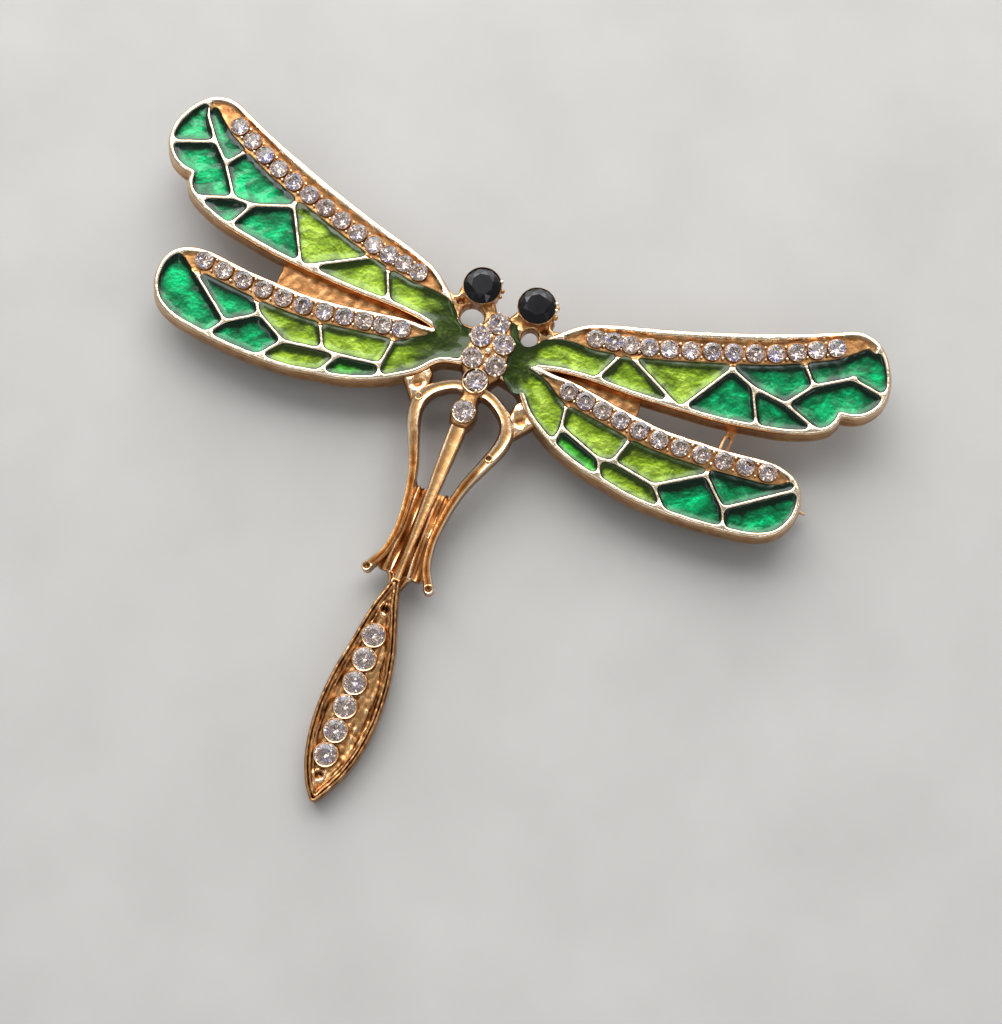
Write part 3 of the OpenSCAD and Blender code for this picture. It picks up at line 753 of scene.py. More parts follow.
@dataclass(frozen=True)
class Relief:
    """A cast relief: a top skin of varying height, its side walls and its flat back.

    Args:
        outer: Anticlockwise outline.
        height: Height of the skin over points of the plane.
        wear: Wear of the skin from its points and heights.
        cells: Holes with a rounded edge, such as enamel cells.
        seats: Holes whose edge is hidden, such as seats of stones.
        spacing: Distance between the skin's inner points.
        walls: Rows of the side wall, as outward offset, height over the back and wear.
        back: Height of the back.
        edge: Depths of the rings of points along the outline.
        through: Whether the cells are open to the back.
        seams: Loops along which the skin bends.
        back_wear: Wear of the back.
    """

    outer: Array
    height: Height
    wear: Wear
    cells: Sequence[Array] = ()
    seats: Sequence[Array] = ()
    spacing: float = 0.6
    walls: Rows = ()
    back: float = 0.0
    edge: Sequence[float] = EDGE_RINGS
    through: bool = False
    seams: Sequence[Array] = ()
    back_wear: float = 0.35

    def skin_points(self) -> Array:
        """Gathers the inner points of the skin, densest where it bends.

        Returns:
            The points, clear of the outline and of the holes.
        """
        holes, pitch = [*self.cells, *self.seats], 0.035
        extra = [rings(self.outer, self.edge, 1)] + [rings(seam, SEAM_RINGS, 1) for seam in self.seams]
        extra += [rings(cell, CELL_RINGS, -1) for cell in self.cells]
        extra += [rings(seat, SEAT_RINGS, -1) for seat in self.seats]
        fill = scatter(self.outer, self.spacing)
        fill = fill[nearest_gap(fill, [self.outer]) > self.edge[-1]]
        if self.cells:
            fill = fill[nearest_gap(fill, self.cells) > CELL_RINGS[-1]]
        p = np.vstack([*extra, fill])
        keep = inside(p, self.outer) & (nearest_gap(p, [self.outer, *holes]) > CLEAR)
        for hole in holes:
            keep &= ~inside(p, hole)
        return thinned(p[keep], pitch)

    def add(self, shell: Shell) -> None:
        """Adds the relief to a shell.

        Args:
            shell: Where it goes.
        """
        p, tris = mesh_between(self.outer, [*self.cells, *self.seats], self.skin_points())
        z = self.height(p)
        shell.add(level(p, z), tris, self.wear(p, z))
        top, n = self.height(self.outer), outward(self.outer)
        net = [level(self.outer, top)]
        net += [level(self.outer + n * o, np.minimum(self.back + h, top - CLEAR)) for o, h, _ in self.walls]
        marks = [float(self.wear(self.outer[:1], top[:1])[0]), *(mark for _, _, mark in self.walls)]
        shell.grid(np.stack(net, 1)[:, ::-1], np.array(marks[::-1]), close_u=True)
        under = self.back + self.walls[-1][1]
        for c in self.cells:
            rim = self.height(c)
            side = [level(c, rim), level(c, under if self.through else rim - 0.5)]
            shell.grid(np.stack(side, 1), np.array([0.5, 0.25 if self.through else 0.1]), close_u=True)
        holes = self.cells if self.through else ()
        shell.flat(self.outer + n * self.walls[-1][0], under, False, self.back_wear, holes)


def collar(shell: Shell, x: float, y: float, d: float, z: float, lip: float) -> None:
    """Adds the thin metal collar that holds one round stone.

    Args:
        shell: Where it goes.
        x: Place of the stone.
        y: Place of the stone.
        d: The stone's diameter.
        z: Height of the collar's edge.
        lip: Wear of that edge.
    """
    r = d / 2
    profile = [(r + 0.12, z - 0.75), (r + 0.09, z - 0.25), (r + 0.06, z), (r + 0.02, z + 0.03),
               (r - 0.02, z + 0.01), (r - 0.03, z - 0.08), (r - 0.05, z - 0.7)]
    shell.lathe((x, y), profile, [0.1, 0.2, lip, lip, 0.6 * lip, 0.2, 0.1], 28)


def bead(shell: Shell, x: float, y: float, z: float, r: float, mark: float = 0.95) -> None:
    """Adds a small round bead of metal, from its lower pole to its upper one."""
    turn = np.linspace(-math.pi / 2, math.pi / 2, 9)
    shell.lathe((x, y), [(r * math.cos(a), z + r * math.sin(a)) for a in turn], [mark] * 9, 18)


def top_loop(solid: Piece, turn: Matrix) -> Array:
    """Finds the outline of the top face of a flat solid.

    Args:
        solid: The solid, as packed.
        turn: Matrix from the row frame to the brooch's.

    Returns:
        The outline in the brooch's frame, either way round.
    """
    work = bmesh.new()
    work.from_mesh(solid.data)
    work.transform(turn)
    bmesh.ops.remove_doubles(work, verts=work.verts, dist=0.001)
    high = max(v.co.z for v in work.verts) - 0.05
    nexts: dict = {}
    for e in work.edges:
        if min(v.co.z for v in e.verts) > high and any(abs(f.normal.z) < 0.5 for f in e.link_faces):
            for a, b in (e.verts, reversed(list(e.verts))):
                nexts.setdefault(a, []).append(b)
    start = next(iter(nexts))
    loop, last = [start], None
    while True:
        ahead = [v for v in nexts[loop[-1]] if v is not last]
        last = loop[-1]
        if not ahead or ahead[0] is start:
            break
        loop.append(ahead[0])
    out = np.array([v.co[:2] for v in loop])
    work.free()
    return out


@dataclass(frozen=True)
class Pool:
    """One pour of enamel: its solids, its tint, its outline on the right-hand side and its surface.

    Args:
        nodes: The solids that it stands for.
        tint: Its colour.
        loop: Its anticlockwise outline.
        wider: How far the pour runs under the metal's rounded edge.
        level_z: Depth of its middle under the rim.
        climb: How far it climbs its walls.
        root_rise: How far it rises towards the cluster, where it covers the wings' roots.
        spacing: Distance between its inner points.
    """

    nodes: tuple[str, ...]
    tint: Tint
    loop: Array
    wider: float = 0.07
    level_z: float = 0.3
    climb: float = 0.2
    root_rise: float = 0.2
    spacing: float = 0.36

    def add(self, shell: Shell, rows: Sequence[Array], dark: float = 0.0) -> None:
        """Adds the pour, which climbs its walls, with painted shade in its colour under the upper walls.

        Args:
            shell: Where the pour is added; its side tells which way the painted shadow falls.
            rows: Lines of the stones that stand beside the pour.
            dark: Added painted shade towards the middle of the brooch.
        """
        wide = self.loop + outward(self.loop) * self.wider
        p = np.vstack([rings(wide, (0.06, 0.14, 0.25, 0.4, 0.6), 1), scatter(wide, self.spacing)])
        p = p[inside(p, wide)]
        p = thinned(p[nearest_gap(p, [wide]) > 0.03], 0.06)
        p, tris = mesh_between(wide, [], p)
        d, out = gap(p, wide), p[:, 0]
        # Nearness to the stones: the pour climbs less there, and its colour gets painted shade.
        near = step(2.0, 1.4, np.min([gap(p, row, False) for row in rows], axis=0))
        climb = self.climb * np.exp(-d / 0.3)
        z = SIZES.rim_z - self.level_z + climb * (1 - near) + 0.015 * ripple(p, 1.6, len(wide))
        root = step(4.2, 2.4, out) if dark else np.zeros(len(p))
        z += self.root_rise * root
        shell.add(level(p, z), tris, self.shade(p, wide, near, shell.side, dark))
        low = SIZES.cell_z + 0.03 if not dark else 1.0
        side = [level(wide, z[:len(wide)]), level(wide, low)]
        shell.grid(np.stack(side, 1)[:, ::-1], 1.0, close_u=True)
        shell.flat(wide, low, False, 1.0)

    def shade(self, p: Array, wide: Array, near: Array, side: Side, dark: float) -> Array:
        """Gives the painted shade of the colour: deepest along the walls, partly where the pour climbs and
        thickens, with a painted shadow under the upper walls, more by the stones and towards the middle.

        Args:
            p: Points of the surface.
            wide: The pour's edge.
            near: Nearness of each point to the stones.
            side: The half that the pour lies on.
            dark: Added painted shade towards the middle of the brooch.

        Returns:
            The painted shade of each point, from 0 to 1.
        """
        # Painted shadow of the walls: a point is darkened where a step towards the window crosses a wall.
        up = np.array([[-0.367 * side.value, 0.93]])
        above, beyond = depth(p + 0.75 * up, wide), depth(p + 1.7 * up, wide)
        shade = np.exp(-gap(p, wide) / 0.35) * 0.55 + step(0.45, -0.55, above) * 0.6
        shade = shade + step(1.0, -1.2, beyond) * 0.22 + 0.4 * near
        # Painted shade towards the middle of the brooch, reaching further on the left.
        shade += dark * step(6.2 if side is Side.RIGHT else 11.0, 4.0, p[:, 0])
        return np.clip(shade, 0, 1)


@dataclass(frozen=True)
class Wing:
    """One wing: its rim, stone band and cell walls, its enamel and its row of stones.

    Args:
        pair: Which pair it belongs to.
        side: Which half of the brooch.
        reach: Its reach from the middle.
        rise: Its rise, or its drop in the hind pair.
        stones: Number of its stones.
        cells: Number of its enamel cells, the root cell included.
        past: How far the stones' trough runs on past the first stone, in steps of the row.
        rim_round: Radius of the rim's edge.
        wall_round: Radius of a cell wall's edge.
        trough: Depth of the stones' trough.
        dip: Depth of the metal between the rim and the cells.
        sunk: Depth of the metal under the enamel that covers it.
        least_z: Least height of the metal.
        band_half: Half width of the trough's floor.
    """

    pair: Pair
    side: Side
    reach: float
    rise: float
    stones: int
    cells: int
    past: float
    rim_round: float = 0.48
    wall_round: float = 0.22
    trough: float = 0.36
    dip: float = 0.07
    sunk: float = 0.6
    least_z: float = 1.2
    band_half: float = 1.4

    @property
    def back(self) -> float:
        """Height of the wing's flat back, a hair's breadth from its neighbours'."""
        return 0.015 * ((self.pair is Pair.HIND) + 2 * (self.side is Side.LEFT))

    @property
    def key(self) -> str:
        """The wing's name in the names of its pieces."""
        return f"{self.side.word}_{self.pair.value}"

    @property
    def cell_names(self) -> list[str]:
        """Names of the solids of its enamel, from the tip to the root."""
        return [f"enamel_{self.key}_{i}" for i in range(1, self.cells + 1)]

    def outline(self) -> Array:
        """Outlines the right-hand wing.

        Returns:
            Its anticlockwise outline.
        """
        tables, size = (HIND_EDGE,), [self.reach, -self.rise]
        if self.pair is Pair.FORE:
            tables, size = (FORE_LEAD, FORE_TRAIL), [self.reach, self.rise]
        line = np.vstack([spline(np.array(table) * size, 6) for table in tables])
        return anticlockwise(even(line, 0.3))

    def row(self) -> Array:
        """Spaces the stones along the leading edge.

        Returns:
            Their centres on the right-hand side, from the tip to the root.
        """
        table, sign = (FORE_ROW, 1) if self.pair is Pair.FORE else (HIND_ROW, -1)
        line = spline(np.array(table) * [self.reach, sign * self.rise], 60)
        at = np.linspace(0, len(line) - 1, self.stones)
        return np.column_stack([np.interp(at, np.arange(len(line)), line[:, k]) for k in (0, 1)])

    def cell_loops(self, nodes: Nodes) -> list[Array]:
        """Outlines the enamel cells after their solids.

        Args:
            nodes: The solids by name.

        Returns:
            Anticlockwise outlines on the right-hand side, from the tip to the root.
        """
        turn, mirror = SIZES.laid().inverted(), [self.side.value, 1]
        loops = [anticlockwise(top_loop(nodes[name], turn) * mirror) for name in self.cell_names]
        return [softened(even(loop, 0.18), 5) for loop in loops]

    def pools(self, nodes: Nodes) -> list[Pool]:
        """Gathers the pours of enamel, without the root cell, which belongs to the saddle.

        Args:
            nodes: The solids by name.

        Returns:
            The pours, from the tip to the root.
        """
        loops, names, tints = self.cell_loops(nodes), self.cell_names, TINTS[self.pair]
        found = [Pool((name,), tint, loop) for name, tint, loop in zip(names[:-1], tints, loops)]
        if self.pair is Pair.FORE and self.side is Side.RIGHT:
            found[:2] = [Pool(tuple(names[:2]), tints[0], joined(loops[:2], 0.6))]
        return found

    def build(self, nodes: Nodes, root: Array) -> Piece:
        """Makes the wing's metal.

        Args:
            nodes: The solids by name.
            root: Outline of the saddle's enamel on this side, which the metal passes under.

        Returns:
            The piece.
        """
        outline, row, cells = self.outline(), self.row(), self.cell_loops(nodes)
        line = np.vstack([row[:1] * (1 + self.past) - row[1:2] * self.past, row, row[-1:] * 2 - row[-2:-1]])
        metal = [c + outward(c) * 0.05 for c in cells]
        merged = [pool.loop for pool in self.pools(nodes) if len(pool.nodes) > 1]

        def height(p: Array) -> Array:
            """Shapes the rims, the trough of the stones and the cell walls.

            Args:
                p: Points of the plane.

            Returns:
                Their heights.
            """
            edge, stones = gap(p, outline), gap(p, line, False)
            z = SIZES.rim_z - dome(edge, self.rim_round) - dome(nearest_gap(p, metal), self.wall_round)
            z -= self.trough * step(self.band_half + 0.35, self.band_half, stones) * step(0.5, 0.8, edge)
            z -= self.dip * step(0.8, 1.2, edge) * step(1.2, 1.6, stones)
            z -= self.sunk * step(0.0, 0.3, depth(p, root))
            for pool in merged:
                z -= self.sunk * step(-0.02, 0.12, depth(p, pool))
            return np.maximum(z, self.least_z) + 0.02 * ripple(p, 2.2, 3) + 0.012 * ripple(p, 0.9, 4)

        def wear(p: Array, z: Array) -> Array:
            """Wear, most on the narrow crests of the rims and walls and least on the low edges."""
            crest = np.minimum(gap(p, outline), nearest_gap(p, metal) + 0.25)
            return np.clip(1 - (SIZES.rim_z - z - 0.03) / 0.62 - 0.24 * step(0.6, 0.85, crest), 0.15, 1)

        shell = Shell(self.side)
        Relief(
            outline, height, wear, metal, stone_seats(row, SIZES.wing_stone), 0.5, seams=[root, *merged],
            walls=((0.03, 1.75, 0.6), (0.09, 1.3, 0.42), (0.2, 0.7, 0.32), (0.29, 0.3, 0.42),
                   (0.3, 0.12, 0.6), (0.24, 0.0, 0.3)),
            back=self.back,
        ).add(shell)
        for x, y in row:
            collar(shell, x, y, SIZES.wing_stone, SIZES.rim_z - 0.02, 0.55)
        return shell.build(f"wing_{self.key}")

    def prongs(self) -> Array:
        """Places the small beads of metal that hold the stones.

        Returns:
            Their centres.
        """
        row = self.row()
        middle = (row[1:] + row[:-1]) / 2
        way = row[1:] - row[:-1]
        way /= np.linalg.norm(way, axis=1)[:, None]
        across = np.column_stack([-way[:, 1], way[:, 0]]) * 0.72
        p = np.vstack([middle + across, middle - across])
        return level(p * [self.side.value, 1], SIZES.rim_z - 0.12)

    def dress(self, bench: "Bench", root: Array, seed: int) -> None:
        """Makes the wing and dresses it.

        Args:
            bench: The finishes and the solids.
            root: Outline of the saddle's enamel on this side.
            seed: Seed of the stones' turns; that of the beads follows from it.
        """
        bench.cast(self.build(bench.nodes, root))
        pools = self.pools(bench.nodes)
        for tint in Tint:
            mine = [pool for pool in pools if pool.tint is tint]
            if mine:
                bench.pour(f"{self.key}_{tint.value}", Shell(self.side), mine, [self.row()])
        at = level(self.row() * [self.side.value, 1], SIZES.rim_z + 0.05)
        size = 1.045 * SIZES.wing_stone
        bench.stones(f"stones_{self.key}", at, size, seed, 0.07, [f"stones_{self.key}"])
        bench.beads(f"prongs_{self.key}", self.prongs(), 0.36, seed + 30, 0.2)


def stone_seats(spots: Array, stone: float) -> list[Array]:
    """Holes under round stones, a little smaller than they are."""
    return [circle(x, y, 0.49 * stone) for x, y in spots]


def saddle(side: Side, nodes: Nodes) -> Pool:
    """Joins the root cells of a side's wings to the cluster.

    Args:
        side: The half of the brooch.
        nodes: The solids by name.

    Returns:
        The pour.
    """
    mine = [wing for wing in WINGS if wing.side is side]
    over = anticlockwise(even(spline(SADDLES[side] + SADDLES[side][:1], 4)[:-1], 0.15))
    loop = joined([*(wing.cell_loops(nodes)[-1] for wing in mine), over], 0.1)
    return Pool(tuple(wing.cell_names[-1] for wing in mine), Tint.LIME, loop)


@dataclass(frozen=True)
class Head:
    """The two cups of the eyes and the pierced plates behind them.

    Args:
        plate_z: Height of the plates.
        holes: X, Y and two radii of the hole through each plate.
        dimple: X and Y of the dimple beside each cup.
        crown_beads: Side, angle in degrees and radius of the beads on the cups' edges.
        side_beads: Side, angle, height and radius of those on the cups' sides.
    """

    plate_z: float = 2.15
    holes: dict[Side, tuple] = field(default_factory=lambda: {
        Side.LEFT: (3.28, 0.45, 1.4, 1.35), Side.RIGHT: (3.8, 0.34, 0.95, 1.15)})
    dimple: tuple[float, float] = (5.16, 1.71)
    crown_beads: tuple = ((-1, 32, 0.24), (1, 27, 0.26), (1, 7, 0.24))
    side_beads: tuple = (
        (1, 20, 2.5, 0.3), (1, -12, 2.7, 0.26), (1, -4, 2.0, 0.34), (1, 38, 2.2, 0.28), (-1, 12, 2.3, 0.28),
        (-1, -8, 2.6, 0.24),
    )

    def build(self, roots: dict[Side, Array]) -> Piece:
        """Makes the head's metal.

        Args:
            roots: Outline of each side's saddle of enamel.

        Returns:
            The piece.
        """
        shell = Shell()
        for side in Side:
            shell.side = side
            self.plate(shell, side, roots[side])
            self.cup(shell)
        shell.side = Side.RIGHT
        x, y, r = SIZES.eye_out, SIZES.eye_up, SIZES.eye / 2 + 0.12
        beads = [(s, a, SIZES.cup_z - 0.12, size, r, 0.95) for s, a, size in self.crown_beads]
        beads += [(s, a, z, size, r + 0.05, 0.5) for s, a, z, size in self.side_beads]
        for sign, angle, z, size, off, mark in beads:
            a = math.radians(angle)
            bead(shell, sign * x + off * math.cos(a), y + off * math.sin(a), z, size, mark)
        return shell.build("head")

    def plate(self, shell: Shell, side: Side, root: Array) -> None:
        """Adds the pierced plate of one side.

        Args:
            shell: Where it goes.
            side: The half of the brooch.
            root: Outline of that side's saddle of enamel.
        """
        loop = anticlockwise(even(spline(PLATE_EDGE + PLATE_EDGE[:1], 6)[:-1], 0.22))
        hole = circle(*self.holes[side], 40)
        dimple = np.array(self.dimple)

        def height(p: Array) -> Array:
            """Shapes the plate, with a dimple beside the cup and a low edge under the enamel.

            Args:
                p: Points of the plane.

            Returns:
                Their heights.
            """
            z = self.plate_z - dome(gap(p, loop), 0.4) - dome(gap(p, hole), 0.3)
            off = np.linalg.norm((p - dimple) / [0.55, 0.45], axis=1)
            z += 0.14 * np.exp(-(((off - 1.25) / 0.35) ** 2)) - 0.5 * step(1.1, 0.4, off)
            z += 0.05 * ripple(p, 1.3, 8) + 0.045 * ripple(p, 0.55, 9)
            return np.maximum(z - 0.6 * step(0.0, 0.3, depth(p, root)), 1.0)

        def wear(p: Array, z: Array) -> Array:
            """Wear, coppery in the dimple."""
            return np.clip(0.5 - (self.plate_z - z) / 0.8, 0.1, 1)

        Relief(
            loop, height, wear, [hole], (), 0.3, walls=((0.05, 1.3, 0.3), (0.1, 0.6, 0.2), (0.02, 0.3, 0.2)),
            back=0.1, through=True, seams=[root],
        ).add(shell)

    def cup(self, shell: Shell) -> None:
        """Adds the cup of one eye.

        Args:
            shell: Where it goes.
        """
        r, z = SIZES.eye / 2, SIZES.cup_z
        profile = [(0.0, 0.25), (r - 0.3, 0.25), (r - 0.1, 0.5), (r, 1.3), (r + 0.05, 2.4),
                   (r + 0.09, z - 0.35), (r + 0.1, z - 0.15), (r + 0.07, z - 0.04), (r + 0.03, z),
                   (r - 0.01, z - 0.04), (r - 0.02, z - 0.5), (r - 0.3, 1.6), (0.0, 1.3)]
        marks = [0.2, 0.2, 0.2, 0.25, 0.3, 0.45, 0.6, 0.7, 0.7, 0.4, 0.1, 0.1, 0.1]
        shell.lathe((SIZES.eye_out, SIZES.eye_up), profile, marks, 56)

    def dress(self, bench: "Bench", roots: dict[Side, Array]) -> None:
        """Makes the head and its eyes and dresses them.

        Args:
            bench: The finishes.
            roots: Outline of each side's saddle of enamel.
        """
        bench.cast(self.build(roots))
        for side in Side:
            at = np.array([[side.value * SIZES.eye_out, SIZES.eye_up, SIZES.cup_z - 0.1]])
            name, shape, seed = f"eye_{side.word}", bench.cut.mesh(Cut.WHOLE), 90 + side.value
            eye = bench.setter.place(f"{name}_cut", at, shape, SIZES.eye, bench.black, seed, lean=0.02)
            bench.dress(eye, bench.black, "black_glass", name)


@dataclass(frozen=True)
class Thorax:
    """The body between the wings, with the cluster of stones and the neck stone."""

    skin_z: float = 2.55
    collared: int = 5
    cups: tuple = ((0.36, -0.12), (0.22, 0.0))
    prong_angles: tuple = (20, 110, 200, 290)

    def spots(self) -> Array:
        """Centres of the seven stones, the neck stone last."""
        p = np.array(THORAX_STONES) * [SIZES.body_stone, -SIZES.neck_y]
        return np.vstack([p, [[0, -SIZES.neck_y]]])

    def build(self) -> Piece:
        """Makes the thorax.

        Returns:
            The piece.
        """
        rows = spline([[0, -y * SIZES.neck_y, w * SIZES.body_stone] for y, w in BODY_ROWS], 6)
        loop = even(ribbon(rows), 0.25)
        spots = self.spots()
        shell = Shell()

        def height(p: Array) -> Array:
            """Height of the rounded skin."""
            return self.skin_z - dome(gap(p, loop), 0.55) + 0.02 * ripple(p, 1.1, 5)

        def wear(p: Array, z: Array) -> Array:
            """Wear, least low on the sides."""
            return np.clip(0.5 - (self.skin_z - z), 0.15, 1)

        Relief(
            loop, height, wear, (), stone_seats(spots, SIZES.body_stone), 0.4,
            walls=((0.04, 1.4, 0.3), (0.1, 0.7, 0.2), (0.04, 0.0, 0.2)), back=-0.03,
        ).add(shell)
        for x, y in spots[:self.collared]:
            collar(shell, x, y, SIZES.body_stone, SIZES.thorax_z - 0.05, 0.6)
        z = SIZES.thorax_z
        for (x, y), (thick, aside) in zip(spots[self.collared:], self.cups):
            r = SIZES.body_stone / 2
            rim = r + thick
            profile = [(rim + 0.1, 0.4), (rim + 0.08, z - 0.8), (rim, z - 0.2), (rim - 0.1, z - 0.05),
                       (rim - 0.2, z - 0.09), (r + 0.04, z - 0.35), (r - 0.04, z - 1)]
            shell.lathe((x + aside, y), profile, [0.2, 0.35, 0.7, 0.9, 0.6, 0.15, 0.1], 36)
        bead(shell, 0, -0.288 * SIZES.neck_y, z - 0.05, 0.42)
        return shell.build("thorax")

    def prongs(self) -> Array:
        """Places the beads round the cluster.

        Returns:
            Their centres.
        """
        r = SIZES.body_stone / 2 + 0.02
        turns = [math.radians(angle) for angle in self.prong_angles]
        return np.array([
            [x + r * math.cos(a), y + r * math.sin(a), SIZES.thorax_z] for x, y in self.spots() for a in turns
        ])

    def dress(self, bench: "Bench") -> None:
        """Makes the thorax with its stones and beads and dresses them.

        Args:
            bench: The finishes.
        """
        bench.cast(self.build(), "casting")
        names = [f"thorax_stone_{i}" for i in range(1, len(THORAX_STONES) + 1)] + ["neck_stone"]
        bench.stones("body_stones", level(self.spots(), SIZES.thorax_z), SIZES.body_stone, 70, 0.05, names)
        bench.beads("prongs_body", self.prongs(), 0.4, 80, 0.25)


@dataclass(frozen=True)
class Legs:
    """The arched legs, their feet, the middle bar and the skirt between them."""

    foot_r: float = 0.62
    dents: dict[Side, tuple] = field(default_factory=lambda: {
        Side.LEFT: (5.5, -10.6), Side.RIGHT: (4.55, -14.5)})
    tie_z: float = 1.95
    skirt_z: float = 1.25
    rag: tuple = (0.9, 0.2, 0.55, 0.0, 0.35, 0.1, 0.5, 0.25, 1.0)

    def build(self) -> Piece:
        """Makes the legs, bar and skirt.

        Returns:
            The piece.
        """
        shell = Shell()
        scale = [SIZES.feet_out, -SIZES.feet_y, SIZES.leg]
        line = spline(np.array(LEG_ROWS) * scale, 8)
        tie = np.array(TIE_EDGE) * scale[:2]
        top = SIZES.leg
        arm = [(0.7, 0.1, 0.2, 0), (1.1, 0.25, 0.3, 0), (1.16, 0.8, 0.25, 0), (1.12, 1.4, 0.35, 0),
               (1.06, top - 0.3, 0.5, 0), (0.95, top - 0.04, 0.8, 0), (0.72, top + 0.1, 0.95, 0),
               (0.4, top + 0.04, 0.65, 0.4)]
        arm += [(0.0, top, 0.4, 1.0)] + [(-u, z, m, c) for u, z, m, c in arm[::-1]]
        dent = [(0.5, top - 0.1), (0.48, top + 0.1), (0.4, top + 0.16), (0.3, top + 0.13), (0.24, top + 0.02),
                (0, top - 0.02)]
        for side in Side:
            shell.side = side
            shell.loft(line, arm, 0.3 * step(0.35, 0.6, np.linspace(0, 1, len(line))))
            self.tie(shell, anticlockwise(even(tie, 0.22)))
            self.foot(shell, line[-1, 0], line[-1, 1])
            shell.lathe(self.dents[side], dent, [0.3, 0.5, 0.7, 0.3, 0.0, 0.0], 24)
        shell.side = Side.RIGHT
        bar = spline([[0, -y * SIZES.feet_y, w * SIZES.leg] for y, w in BAR_ROWS], 8)
        plank = [(0.8, 0.05, 0.2, 0), (1.0, 0.6, 0.25, 0), (1.0, 1.6, 0.35, 0), (0.94, top - 0.22, 0.45, 0),
                 (0.84, top - 0.08, 0.7, 0), (0.7, top - 0.02, 0.8, 0), (0.5, top - 0.12, 0.5, 0)]
        plank += [(0.0, top - 0.14, 0.5, 0)] + [(-u, z, 0.85 * m, c) for u, z, m, c in plank[::-1]]
        shell.loft(bar, plank)
        self.skirt(shell)
        return shell.build("legs", 50)

    def tie(self, shell: Shell, loop: Array) -> None:
        """Adds the hollowed web between a leg and its hind wing.

        Args:
            shell: Where it goes.
            loop: Its anticlockwise outline.
        """
        middle = loop.mean(0)

        def height(p: Array) -> Array:
            """Height of the web, sunk in its middle."""
            sunk = 0.45 * np.exp(-((np.linalg.norm(p - middle, axis=1) / 0.55) ** 2))
            return self.tie_z - dome(gap(p, loop), 0.45) - sunk + 0.05 * ripple(p, 1.3, 12)

        def wear(p: Array, z: Array) -> Array:
            """Wear, least in the middle."""
            return np.clip(0.75 - (self.tie_z - z) / 0.7, 0.12, 1)

        walls = ((0.06, 1.2, 0.35), (0.1, 0.6, 0.2), (0.05, 0.1, 0.3))
        Relief(loop, height, wear, (), (), 0.2, walls=walls, back=0.1).add(shell)

    def foot(self, shell: Shell, x: float, y: float) -> None:
        """Adds the small dimpled knob at the end of a leg.

        Args:
            shell: Where it goes.
            x: Place of the foot.
            y: Place of the foot.
        """
        r, z = self.foot_r, SIZES.leg + 0.14
        profile = [(r - 0.1, 0.15), (r, 0.4), (r, z - 0.4), (r - 0.06, z - 0.12), (r - 0.16, z),
                   (r - 0.26, z - 0.05), (r - 0.36, z - 0.25), (0, z - 0.42)]
        shell.lathe((x, y), profile, [0.2, 0.3, 0.5, 0.8, 0.9, 0.6, 0.1, 0.05], 32)

    def skirt(self, shell: Shell) -> None:
        """Adds the low plate between the legs, fluted lengthwise, with a ragged upper edge.

        Args:
            shell: Where it goes.
        """
        half = spline(np.array(SKIRT_ROWS) * [SIZES.feet_out, -SIZES.feet_y], 8)
        share = np.linspace(1, -1, 45)
        rng = np.random.default_rng(15)
        rag = np.interp(np.abs(share), np.linspace(0, 1, len(self.rag)), self.rag)
        down = np.linspace(1, 0, len(half))[:, None]
        x = half[:, :1] * share
        y = half[:, 1:] + 0.8 * rag[None] * down**3
        flute = np.cos(np.abs(share) * math.tau * 2.6) * 0.16 + rng.normal(0, 0.035, len(share))
        z = self.skirt_z + flute[None] + 0.12 * np.sin(3 * x + 1.1 * y)
        z[0] -= 0.25
        net = np.stack([x, y, z], 2)
        shell.grid(net, np.clip(0.5 + 1.1 * (z - self.skirt_z), 0.1, 0.85))
        low = net.copy()
        low[..., 2] = 0.25
        shell.grid(low[:, ::-1], 0.2)
        for upper, lower in ((net[0], low[0]), (net[-1][::-1], low[-1][::-1]), (net[::-1, 0], low[::-1, 0]),
                             (net[:, -1], low[:, -1])):
            shell.grid(np.stack([lower, upper]), 0.25)

    def dress(self, bench: "Bench") -> None:
        """Makes the legs and dresses them."""
        bench.cast(self.build())


